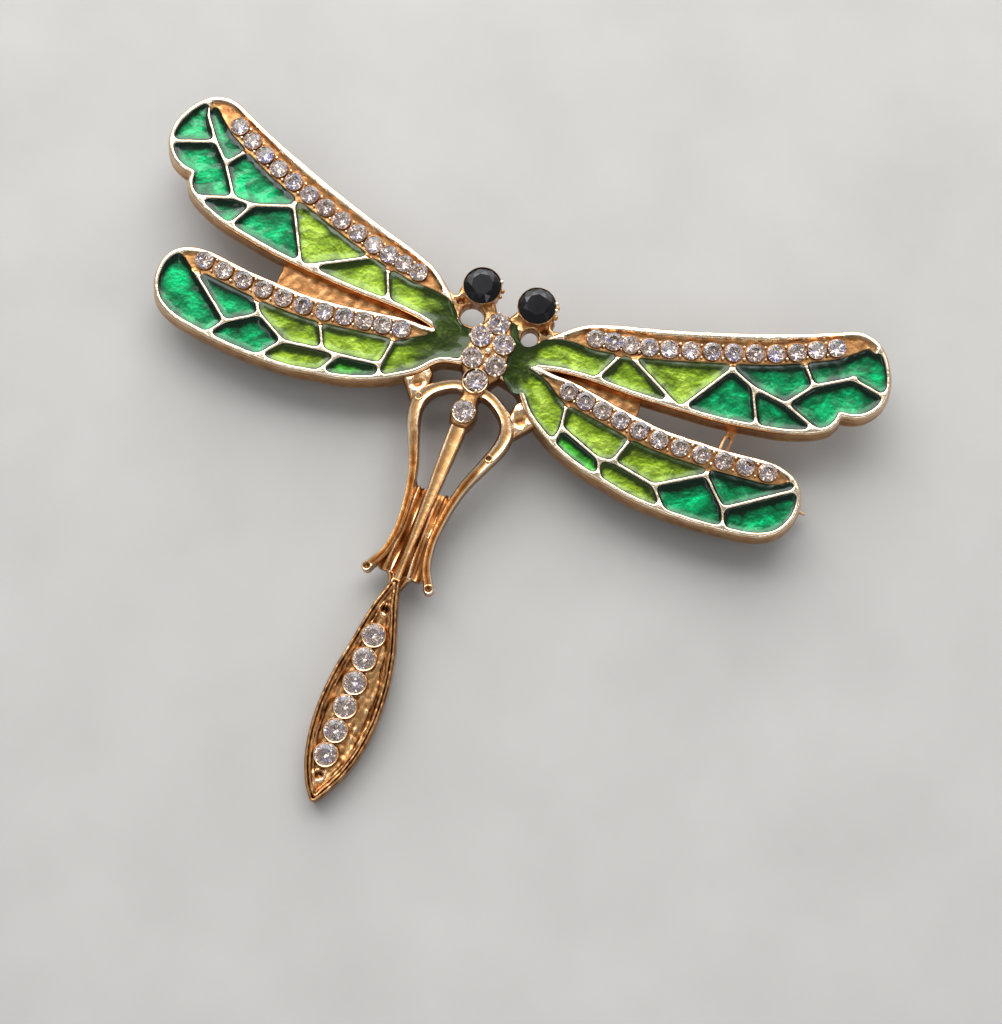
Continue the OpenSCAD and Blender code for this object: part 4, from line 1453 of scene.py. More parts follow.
@dataclass(frozen=True)
class Tail:
    """The spindle-shaped tail with its rim, hollow and collets."""

    stones: int = 6
    first: float = 0.262
    last: float = 0.8
    hollow: float = 0.6
    grooves: tuple = (0.78, 1.2)
    pits: tuple = (0.14, 0.89)

    @property
    def root(self) -> float:
        """Distance of the tail's root from the middle of the brooch, a little inside the feet's."""
        return 0.99 * SIZES.feet_y

    @property
    def long(self) -> float:
        """The tail's length."""
        return SIZES.tail_y - self.root

    def spots(self) -> Array:
        """Centres of the tail's stones, from the root."""
        shares = np.linspace(self.first, self.last, self.stones)
        return np.array([[0, -self.root - self.long * share] for share in shares])

    def build(self) -> Piece:
        """Makes the tail.

        Returns:
            The piece.
        """
        half, top, spots = SIZES.tail_half, SIZES.rim_z, self.spots()
        rows = spline([[s * half, -self.root - y * self.long, w * half] for y, w, s in TAIL_ROWS], 8)
        loop = even(ribbon(rows), 0.22)
        pits = np.array([[0.1, -self.root - share * self.long] for share in self.pits])

        def height(p: Array) -> Array:
            """Shapes the thin rim and the hollow, with grooves that follow the edge.

            Args:
                p: Points of the plane.

            Returns:
                Their heights.
            """
            edge = gap(p, loop)
            z = top - dome(edge, 0.2) - 0.16 * np.exp(-(((edge - 0.38) / 0.07) ** 2))
            z = z - self.hollow * step(0.5, 1.5, edge)
            streak = ripple(p * [1.0, 0.3], 1.6, 24)
            for at in self.grooves:
                z -= 0.12 * (1 + 0.6 * streak) * np.exp(-(((edge - at - 0.07 * streak) / 0.08) ** 2))
            z += 0.04 * ripple(p * [1.0, 0.12], 0.55, 22) * step(0.5, 0.8, edge)
            for pit in pits:
                off = np.linalg.norm(p - pit, axis=1)
                z += 0.16 * np.exp(-(((off - 0.62) / 0.16) ** 2)) - 0.25 * step(0.5, 0.1, off)
            return z + 0.04 * ripple(p, 0.9, 21)

        def wear(p: Array, z: Array) -> Array:
            """Wear of the rim and of the ridges, capped as painted shade, as the tail lies in shade."""
            floor = top - self.hollow * step(0.5, 1.5, gap(p, loop))
            # The cap at 0.75 paints the whole tail darker than the wings, as shade.
            return np.clip(0.42 + (z - floor) * 3.2 + 0.14 * ripple(p * [1.0, 0.3], 0.9, 23), 0.02, 0.75)

        shell = Shell()
        Relief(
            loop, height, wear, (), stone_seats(spots, SIZES.body_stone), 0.2,
            walls=((0.04, 1.7, 0.5), (0.1, 1.0, 0.3), (0.05, 0.3, 0.25), (-0.15, 0.0, 0.3)),
            back=top - SIZES.tail_thick,
            edge=(0.04, 0.09, 0.15, 0.21, 0.27, 0.32, 0.38, 0.44, 0.5, 0.57, 0.66, 0.76, 0.87, 1.0, 1.15,
                  1.3),
        ).add(shell)
        r = SIZES.body_stone / 2
        profile = [(r + 0.3, top - 1), (r + 0.26, top - 0.4), (r + 0.2, top - 0.1), (r + 0.12, top),
                   (r + 0.01, top - 0.04), (r - 0.03, top - 0.2), (r - 0.05, top - 0.9)]
        for spot in spots:
            shell.lathe(spot, profile, [0.05, 0.15, 0.65, 0.85, 0.5, 0.15, 0.1], 32)
        return shell.build("tail")

    def dress(self, bench: "Bench") -> None:
        """Makes the tail with its stones and dresses them.

        Args:
            bench: The finishes.
        """
        bench.cast(self.build())
        names = [f"tail_stone_{i}" for i in range(1, self.stones + 1)]
        bench.stones("tail_stones", level(self.spots(), SIZES.rim_z), SIZES.body_stone, 71, 0.05, names)


@dataclass(frozen=True)
class Webs:
    """The plain hammered plates behind and between the wings."""

    wall_round: float = 0.15
    hammer: float = 0.05

    def build(self) -> Piece:
        """Makes both webs.

        Returns:
            The piece.
        """
        shell = Shell()
        out, drop, reach = SIZES.hinge_out, SIZES.hind_drop, SIZES.fore_reach
        wide = [[0.5, -0.4], [1.07 * out, -0.02 * SIZES.fore_rise], [1.07 * out, -0.36 * drop],
                [0.4 * out, -0.3 * drop], [0.5, -0.3 * drop]]
        short = [[0.5, -0.4], [0.41 * reach, -0.4], [0.42 * reach, -0.36 * drop], [0.5, -0.3 * drop]]
        for side, corners in ((Side.LEFT, wide), (Side.RIGHT, short)):
            shell.side = side
            self.plate(shell, anticlockwise(even(np.array(corners), 0.3)))
        return shell.build("webs")

    def plate(self, shell: Shell, loop: Array) -> None:
        """Adds one web.

        Args:
            shell: Where it goes.
            loop: Its anticlockwise outline.
        """
        def height(p: Array) -> Array:
            """Height of the hammered plate."""
            return SIZES.web_z - dome(gap(p, loop), self.wall_round) + self.hammer * ripple(p, 1.2, 31)

        def wear(p: Array, z: Array) -> Array:
            """Wear, most on the high places."""
            return np.clip(0.3 + (z - SIZES.web_z) * 2, 0.1, 0.6)

        walls = ((0.02, 0.3, 0.3), (0.0, 0.02, 0.2))
        Relief(loop, height, wear, (), (), 0.4, walls=walls, edge=(0.05, 0.15)).add(shell)

    def dress(self, bench: "Bench") -> None:
        """Makes the webs and dresses them."""
        bench.cast(self.build())


@dataclass(frozen=True)
class PinSet:
    """The hinge, the catch and the pin, seen from below."""

    ear_deep: float = 2.75
    foot_low: float = -0.6
    foot_high: float = 0.1
    bevel: float = 0.12
    play: float = 0.06

    def hinge_frame(self) -> Matrix:
        """Frame with X along the stem and its origin on the hinge."""
        at = Matrix.Translation((-SIZES.hinge_out, -SIZES.hinge_y, -SIZES.stem_drop))
        return at @ Matrix.Rotation(SIZES.skew, 4, "Z")

    def axis_frame(self) -> Matrix:
        """Frame with Z along the hinge's axis and Y up towards the back of the wing."""
        turn = Matrix.Rotation(SIZES.hinge_lean, 4, "X") @ Matrix.Rotation(math.radians(90), 4, "X")
        return self.hinge_frame() @ turn

    def ear_r(self) -> float:
        """Works out how far the ears reach down to the plane that the brooch lies on.

        Returns:
            Radius of the ears.
        """
        y, z = SIZES.hook_low
        high = (z + (y - SIZES.hinge_y) * math.tan(SIZES.lie) - SIZES.stem_drop) * math.cos(SIZES.lie)
        lean = SIZES.hinge_lean + SIZES.lie
        return (high - self.ear_out() * math.sin(lean)) / math.cos(lean)

    def ear_out(self) -> float:
        """Distance of the ears' outer faces from the middle of the hinge."""
        return SIZES.knuckle_w / 2 + SIZES.ear_gap + SIZES.ear_thick

    def slab(
        self, shell: Shell, loop: Array, low: float, high: float, holes: Sequence[Array] = (), r: float = 0.1,
    ) -> None:
        """Adds a plate with rounded edges.

        Args:
            shell: Where it goes.
            loop: Its outline.
            low: Height of its lower face.
            high: Height of its upper face.
            holes: Loops of the holes through it.
            r: Radius of its edges.
        """
        loop = anticlockwise(loop)
        rows = [(-r, low), (-0.3 * r, low + 0.3 * r), (0, low + r), (0, high - r), (-0.3 * r, high - 0.3 * r),
                (-r, high)]
        shell.skirt(loop, rows, [0.5] * len(rows))
        for hole in holes:
            shell.grid(np.stack([level(hole, z) for z in (high, low)], 1), 0.2, close_u=True)
        inner = loop - outward(loop) * r
        shell.flat(inner, high, True, 0.5, holes)
        shell.flat(inner, low, False, 0.5, holes)

    def build(self) -> Piece:
        """Makes the fixed hardware: the ears, the looped strip and the hook.

        Returns:
            The piece.
        """
        shell = Shell(frame=self.axis_frame())
        r, inner = self.ear_r(), SIZES.knuckle_w / 2 + SIZES.ear_gap
        a = np.linspace(math.pi, math.tau, 25)
        round_end = np.column_stack([r * np.cos(a), r * np.sin(a)])
        ear = np.vstack([round_end, [[r, self.ear_deep], [-r, self.ear_deep]]])
        for low in (inner, -inner - SIZES.ear_thick):
            self.slab(shell, even(ear, 0.2), low, low + SIZES.ear_thick)
        shell.frame = self.hinge_frame() @ Matrix.Translation((SIZES.catch_at, 0, SIZES.stem_drop))
        w, out = SIZES.hook_w / 2, SIZES.hook_in + SIZES.hook_wall
        half = [[w, -out], [w, 1.2], [0.5, 1.6], [0.6, 2.2], [0.6, 3.6], [0.5, 4.1], [w, 4.5], [w, 5.3]]
        strip = even(np.array(half + [[-x, y] for x, y in half[::-1]]), 0.12)
        slot = [[-0.2, 2.1], [0.2, 2.1], [0.3, 2.9], [0.2, 3.7], [-0.2, 3.7], [-0.3, 2.9], [-0.2, 2.1]]
        hole = anticlockwise(even(spline(slot, 3)[:-1], 0.1))
        self.slab(shell, strip, self.foot_low, self.foot_high, [hole], 0.12)
        self.hook(shell)
        return shell.build("hinge_and_catch", 50)

    def hook(self, shell: Shell) -> None:
        """Adds the hook that the pin rests in.

        Args:
            shell: Where it goes.
        """
        a = np.linspace(math.radians(90), SIZES.hook_end, 40)
        w, r0, r1, c = SIZES.hook_w / 2, SIZES.hook_in, SIZES.hook_in + SIZES.hook_wall, self.bevel
        ring = [(r1 - c, -w), (r1, -w + c), (r1, w - c), (r1 - c, w), (r0 + c, w), (r0, w - c), (r0, -w + c),
                (r0 + c, -w)]
        net = [[(x, r * math.cos(t), r * math.sin(t) - SIZES.stem_drop) for r, x in ring] for t in a]
        net = np.array(net)
        shell.grid(net, 0.6, close_v=True)
        shell.add(net[-1], [tuple(range(len(ring)))], 0.6)
        for end, low, high in ((-r1 + 0.5, 0.1, -0.3), (0.2, SIZES.hook_in, -0.4)):
            plate = even(np.array([[-w, -r1], [w, -r1], [w, end], [-w, end]]), 0.15)
            self.slab(shell, plate, -SIZES.stem_drop + low, high)

    def rivet(self) -> Piece:
        """Makes the rivet through the ears.

        Returns:
            The piece.
        """
        shell = Shell(frame=self.axis_frame())
        out, r = self.ear_out(), SIZES.rivet_r
        half = [(0, -out - 0.12), (r * 0.8, -out - 0.1), (r + 0.18, -out - 0.02), (r + 0.18, -out + 0.02),
                (r, -out + 0.03)]
        shell.lathe((0, 0), half + [(x, -z) for x, z in half[::-1]], [0.7] * 10, 28)
        return shell.build("hinge_rivet_dressed", 50)

    def stem(self) -> Piece:
        """Makes the pin: its stem, its point and its knuckle.

        Returns:
            The piece.
        """
        turn = Matrix.Rotation(math.radians(90), 4, "Y")
        shell = Shell(frame=self.hinge_frame() @ turn)
        r, long = SIZES.stem_r, SIZES.catch_at + SIZES.point_past
        s = np.linspace(0, 1, 10)
        point = [(r * (1 - 0.75 * t**2.4), long - SIZES.point_len * (1 - t)) for t in s]
        profile = [(r + 0.06, 0.3), (r + 0.06, 2.0), (r + 0.03, 2.15), (r, 2.3)]
        profile += [(r, x) for x in np.linspace(3, long - SIZES.point_len - 0.5, 40)] + point
        profile += [(0, long + 0.05)]
        shell.lathe((0, 0), profile, [0.8] * len(profile), 28)
        shell.frame = self.axis_frame()
        w, k, b = SIZES.knuckle_w / 2, SIZES.knuckle_r, SIZES.rivet_r + self.play
        ring = [(b, -w), (k - 0.12, -w), (k - 0.03, -w + 0.05), (k, -w + 0.14), (k, w - 0.14),
                (k - 0.03, w - 0.05), (k - 0.12, w), (b, w), (b, -w)]
        shell.lathe((0, 0), ring, [0.5] * len(ring), 40)
        return shell.build("pin_stem_dressed", 50, body="pin")

    def dress(self, bench: "Bench") -> None:
        """Makes the hardware and dresses it.

        Args:
            bench: The finishes.
        """
        bench.dress(self.build(), bench.wire, "pin_wire")
        bench.dress(self.rivet(), bench.wire, "pin_wire", "hinge_rivet")
        bench.dress(self.stem(), bench.wire, "pin_wire", "pin_stem")


@dataclass(frozen=True)
class Stone:
    """A round brilliant of unit diameter whose girdle lies at Z = 0."""

    table: float = 0.29
    crown: float = 0.15
    girdle: float = 0.02
    depth: float = 0.42
    star: tuple[float, float] = (0.385, 0.64)
    lower: tuple[float, float] = (0.14, 0.78)

    def mesh(self, cut: Cut) -> Mesh:
        """Makes the facets.

        Args:
            cut: Those of the crown, of the pavilion or of both.

        Returns:
            The mesh, with its facets outwards.
        """
        def ring(r: float, z: float, n: int, turn: float) -> list:
            """Corners of a level polygon."""
            angles = [math.tau * (i + turn) / n for i in range(n)]
            return [(r * math.cos(a), r * math.sin(a), z) for a in angles]

        points, faces = [], []
        if cut is not Cut.PAVILION:
            points = ring(self.table, self.crown, 8, 0)
            points += ring(self.star[0], self.star[1] * self.crown, 8, 0.5)
            points += ring(0.5, 0, 16, 0) + ring(0.5, -self.girdle, 16, 0)
            faces = [tuple(range(8))]
            for i in range(8):
                j, g = (i + 1) % 8, 16 + 2 * i
                b, a = 16 + (2 * i + 2) % 16, g + 1
                faces += [(i, 8 + i, j), (8 + i, a, b), (8 + i, g, a), (i, 8 + (i - 1) % 8, g), (i, g, 8 + i)]
            faces += [(16 + i, 32 + i, 32 + (i + 1) % 16, 16 + (i + 1) % 16) for i in range(16)]
        if cut is not Cut.CROWN:
            at = len(points)
            points += ring(0.5, -self.girdle, 16, 0)
            points += ring(self.lower[0], -self.lower[1] * self.depth, 8, 0.5) + [(0, 0, -self.depth)]
            for i in range(8):
                g, next_low = at + 2 * i, at + 16 + (i + 1) % 8
                low, high = at + 16 + i, at + (2 * i + 2) % 16
                faces += [(g, low, g + 1), (g + 1, low, high), (low, next_low, high)]
                faces += [(low, at + 24, next_low)]
        mesh = bpy.data.meshes.new(f"cut_{cut.value}")
        mesh.from_pydata(points, [], faces)
        work = bmesh.new()
        work.from_mesh(mesh)
        bmesh.ops.remove_doubles(work, verts=work.verts, dist=1e-4)
        for f in work.faces:
            middle = f.calc_center_median() + Vector((0, 0, 0.05))
            if f.normal.dot(middle) < 0:
                f.normal_flip()
        work.to_mesh(mesh)
        work.free()
        return mesh


def bead_mesh() -> Mesh:
    """Makes a small round bead of unit diameter, a little flattened.

    Returns:
        Its mesh, marked as worn.
    """
    flat, wear = 0.8, 0.8
    mesh = bpy.data.meshes.new("bead")
    work = bmesh.new()
    bmesh.ops.create_icosphere(work, subdivisions=2, radius=0.5)
    bmesh.ops.scale(work, vec=(1, 1, flat), verts=work.verts)
    work.to_mesh(mesh)
    work.free()
    mesh.attributes.new("mark", "FLOAT", "POINT").data.foreach_set("value", [wear] * len(mesh.vertices))
    return mesh


def colour(code: str) -> tuple[float, float, float, float]:
    """Linear colour of an sRGB hex code."""
    parts = [int(code[i:i + 2], 16) / 255 for i in (1, 3, 5)]
    return (*[c / 12.92 if c <= 0.04045 else ((c + 0.055) / 1.055) ** 2.4 for c in parts], 1.0)


def feed(tree: Tree, made: bpy.types.Node, **values: object) -> None:
    """Sets or links a node's inputs.

    Args:
        tree: The tree that the node stands in.
        made: The node.
        **values: Input by name, or by number as _0, to a value, a socket or a node's first output.
    """
    for key, value in values.items():
        socket = made.inputs[int(key[1:])] if key[0] == "_" else made.inputs[key.replace("_", " ")]
        if isinstance(value, bpy.types.Node):
            value = value.outputs[0]
        if isinstance(value, bpy.types.NodeSocket):
            tree.links.new(value, socket)
        else:
            socket.default_value = value


def node(
    tree: Tree, kind: str, settings: dict, stops: Stops = (), **values: object,
) -> bpy.types.Node:
    """Adds a node, sets it and links it.

    Args:
        tree: Where the node goes.
        kind: The node's type.
        settings: Its own properties.
        stops: Places and sRGB hex codes of its colours, where it is a ramp.
        **values: Its inputs, as feed takes them.

    Returns:
        The new node.
    """
    made = tree.nodes.new(kind)
    for key, value in settings.items():
        setattr(made, key, value)
    for i, (at, code) in enumerate(stops):
        bar = made.color_ramp.elements
        element = bar[i] if i < len(bar) else bar.new(at)
        element.position, element.color = at, colour(code)
    feed(tree, made, **values)
    return made


def setting_group() -> bpy.types.GeometryNodeTree:
    """Builds the node group that sets one shape at each point, turned and sized a little unevenly.

    Returns:
        A group with the inputs Shape, Size, Unevenness, Lean, Seed and Finish.
    """
    tree = bpy.data.node_groups.new("Set at points", "GeometryNodeTree")
    face = tree.interface
    face.new_socket("Points", in_out="INPUT", socket_type="NodeSocketGeometry")
    for name, kind in (("Shape", "Object"), ("Size", "Float"), ("Unevenness", "Float"), ("Lean", "Float"),
                       ("Seed", "Int"), ("Finish", "Material")):
        face.new_socket(name, in_out="INPUT", socket_type=f"NodeSocket{kind}")
    face.new_socket("Pieces", in_out="OUTPUT", socket_type="NodeSocketGeometry")
    into = tree.nodes.new("NodeGroupInput").outputs
    shape = node(tree, "GeometryNodeObjectInfo", {}, Object=into["Shape"])
    small = node(tree, "ShaderNodeMath", {"operation": "SUBTRACT"}, _0=1.0, _1=into["Unevenness"])
    large = node(tree, "ShaderNodeMath", {"operation": "ADD"}, _0=1.0, _1=into["Unevenness"])
    vary = node(tree, "FunctionNodeRandomValue", {"data_type": "FLOAT"}, _2=small, _3=large,
                Seed=into["Seed"])
    size = node(tree, "ShaderNodeMath", {"operation": "MULTIPLY"}, _0=into["Size"], _1=vary.outputs[1])
    least = node(tree, "ShaderNodeMath", {"operation": "MULTIPLY"}, _0=into["Lean"], _1=-1.0)
    low = node(tree, "ShaderNodeCombineXYZ", {}, X=least, Y=least, Z=0.0)
    high = node(tree, "ShaderNodeCombineXYZ", {}, X=into["Lean"], Y=into["Lean"], Z=math.tau)
    turn = node(tree, "FunctionNodeRandomValue", {"data_type": "FLOAT_VECTOR"}, _0=low, _1=high,
                Seed=into["Seed"])
    setter = node(
        tree, "GeometryNodeInstanceOnPoints", {}, Points=into["Points"], Instance=shape.outputs["Geometry"],
        Rotation=turn.outputs[0], Scale=size,
    )
    real = node(tree, "GeometryNodeRealizeInstances", {}, Geometry=setter)
    coat = node(tree, "GeometryNodeSetMaterial", {}, Geometry=real, Material=into["Finish"])
    node(tree, "NodeGroupOutput", {}, _0=coat)
    return tree


@dataclass(frozen=True)
class Setter:
    """Sets stones and beads at points with one shared node group."""

    group: bpy.types.GeometryNodeTree

    def place(
        self, name: str, at: Array, shape: Mesh, size: float, finish: Material, seed: int,
        unevenness: float = 0.0, lean: float = 0.0, smooth: bool = False,
    ) -> Piece:
        """Sets a shape at each point and bakes the result.

        Args:
            name: Name of the piece.
            at: Points in the brooch's frame, in millimetres.
            shape: Mesh of unit size.
            size: Its size in millimetres.
            finish: Its material.
            seed: Seed of its turns.
            unevenness: Largest change of size, as a share.
            lean: Largest lean in radians.
            smooth: Whether the faces are smooth.

        Returns:
            The piece, riding on the brooch.
        """
        points = bpy.data.meshes.new(name)
        points.from_pydata(np.asarray(at, float).tolist(), [], [])
        holder, model = put(name + "_points", points), put(name + "_shape", shape)
        modifier = holder.modifiers.new("Set", "NODES")
        modifier.node_group = self.group
        values = {"Shape": model, "Size": size, "Unevenness": unevenness, "Lean": lean, "Seed": seed,
                  "Finish": finish}
        for item in self.group.interface.items_tree:
            if item.in_out == "INPUT" and item.name in values:
                modifier[item.identifier] = values[item.name]
        holder.update_tag()
        ready = holder.evaluated_get(bpy.context.evaluated_depsgraph_get())
        mesh = bpy.data.meshes.new_from_object(ready)
        mesh.name = name
        for made in (holder, model):
            bpy.data.objects.remove(made)
        mesh.transform(SIZES.laid())
        mesh.shade_smooth() if smooth else mesh.shade_flat()
        return linked(name, mesh, "brooch")


def begin(name: str) -> tuple[Material, Tree, bpy.types.Node, bpy.types.NodeSocket]:
    """Starts a material.

    Args:
        name: Its name.

    Returns:
        The material, its tree, its main shader and the Object coordinates of its patterns.
    """
    material = bpy.data.materials.new(name)
    material.use_nodes = True
    tree = material.node_tree
    place = tree.nodes.new("ShaderNodeTexCoord").outputs["Object"]
    return material, tree, tree.nodes["Principled BSDF"], place


@dataclass(frozen=True)
class CastGold:
    """Zinc casting plated with gold."""

    # A tumbled and plated casting is polished pale on its crests, while its recesses stay coppery and dull,
    # so that each rim and wall is drawn by a bright line. The grain is drawn coarser than the real one,
    # which is too fine for the render to show.
    name: str = "Gold-plated casting"
    deep: str = "#46281A"
    low: str = "#9B6A40"
    middle: str = "#D09F69"
    crest: str = "#FBE6C6"
    grain_mm: float = 0.22
    wave_mm: float = 1.3
    dull: float = 0.4
    bright: float = 0.17
    bump_mm: float = 0.11

    def material(self) -> Material:
        """Makes the material, whose colour follows the wear that the mark tells.

        Returns:
            The material.
        """
        made, tree, shader, place = begin(self.name)
        mark = node(tree, "ShaderNodeAttribute", {"attribute_name": "mark"}).outputs["Fac"]
        wave = node(tree, "ShaderNodeTexNoise", {}, Vector=place, Scale=PER_MM / self.wave_mm, Detail=3.0,
                    Roughness=0.6)
        grain = node(tree, "ShaderNodeTexNoise", {}, Vector=place, Scale=PER_MM / self.grain_mm, Detail=2.0,
                     Roughness=0.6)
        stray = node(tree, "ShaderNodeMath", {"operation": "MULTIPLY_ADD"}, _0=wave, _1=0.7, _2=-0.35)
        worn = node(tree, "ShaderNodeMath", {"operation": "ADD", "use_clamp": True}, _0=mark, _1=stray)
        stops = [(0.0, self.deep), (0.22, self.low), (0.55, self.middle), (0.9, self.crest)]
        tone = node(tree, "ShaderNodeValToRGB", {}, stops, Fac=worn)
        gloss = node(tree, "ShaderNodeMapRange", {}, Value=worn, To_Min=self.dull, To_Max=self.bright)
        height = node(tree, "ShaderNodeMath", {"operation": "MULTIPLY_ADD"}, _0=grain, _1=0.25, _2=wave)
        bump = node(tree, "ShaderNodeBump", {}, Strength=0.55, Distance=self.bump_mm * MM, Height=height)
        feed(tree, shader, Base_Color=tone, Metallic=1.0, Roughness=gloss, Normal=bump)
        return made


@dataclass(frozen=True)
class FoilEnamel:
    """Clear coloured enamel poured over crinkled foil."""

    # The foil's glints are partly painted into the colour as soft bright patches and specks, besides those
    # that the creases catch; the colour darkens where the pour climbs its walls and with the painted shade
    # that the mark carries; and the fired surface over it mirrors the window sharply, as if wet. The creases
    # and specks are drawn coarser than the real foil's, which the render would blur away.
    name: str
    deep: str
    body: str
    bright: str
    cloud_mm: float = 2.4
    crinkle_mm: float = 0.5
    speck_mm: float = 0.3
    fold_mm: float = 0.36
    crease_mm: float = 0.09

    def material(self) -> Material:
        """Makes the material, which the mark darkens with painted shade and whose bright patches are partly
        painted glints.

        Returns:
            The material.
        """
        made, tree, shader, place = begin(self.name)
        mark = node(tree, "ShaderNodeAttribute", {"attribute_name": "mark"}).outputs["Fac"]
        cloud = node(tree, "ShaderNodeTexNoise", {}, Vector=place, Scale=PER_MM / self.cloud_mm, Detail=3.0,
                     Roughness=0.5, Distortion=0.6)
        fold = node(tree, "ShaderNodeTexVoronoi", {"feature": "SMOOTH_F1"}, Vector=place,
                    Scale=PER_MM / self.crinkle_mm, Smoothness=0.35)
        speck = node(tree, "ShaderNodeTexNoise", {}, Vector=place, Scale=PER_MM / self.speck_mm, Detail=2.0,
                     Roughness=0.7)
        # Painted glints: the specks and the clouds lighten the colour towards the bright tint.
        light = node(tree, "ShaderNodeMath", {"operation": "MULTIPLY_ADD"}, _0=speck, _1=0.22, _2=-0.235)
        mixed = node(tree, "ShaderNodeMath", {"operation": "MULTIPLY_ADD"}, _0=cloud, _1=1.2, _2=light)
        # Painted shade: the mark darkens the colour towards the deep tint.
        dark = node(tree, "ShaderNodeMath", {"operation": "MULTIPLY_ADD"}, _0=mark, _1=-0.8, _2=mixed)
        stops = [(0.0, self.deep), (0.38, self.body), (0.9, self.bright)]
        tone = node(tree, "ShaderNodeValToRGB", {}, stops, Fac=dark)
        height = node(tree, "ShaderNodeMath", {"operation": "ADD"}, _0=fold, _1=speck)
        rough = node(tree, "ShaderNodeBump", {}, Strength=0.5, Distance=self.crease_mm * MM, Height=height)
        bump = node(tree, "ShaderNodeBump", {}, Strength=0.8, Distance=self.fold_mm * MM, Height=cloud,
                    Normal=rough)
        feed(tree, shader, Base_Color=tone, Metallic=0.6, Specular_IOR_Level=0.0, Roughness=0.38, Normal=bump)
        feed(tree, shader, Coat_Weight=1.0, Coat_Roughness=0.02, Coat_IOR=1.4)
        return made


@dataclass(frozen=True)
class Clouded:
    """A smooth material whose colour drifts a little from place to place.

    Args:
        name: Name of the material.
        cloud_mm: Size of the patches of colour.
        detail: Detail of their edges.
        stops: The colours.
        values: Inputs of its shader, as feed takes them.
    """

    name: str
    cloud_mm: float
    detail: float
    stops: Stops
    values: dict[str, float]

    def material(self) -> Material:
        """Makes the material.

        Returns:
            The material.
        """
        made, tree, shader, place = begin(self.name)
        cloud = node(tree, "ShaderNodeTexNoise", {}, Vector=place, Scale=PER_MM / self.cloud_mm,
                     Detail=self.detail)
        tone = node(tree, "ShaderNodeValToRGB", {}, self.stops, Fac=cloud)
        feed(tree, shader, Base_Color=tone, **self.values)
        return made


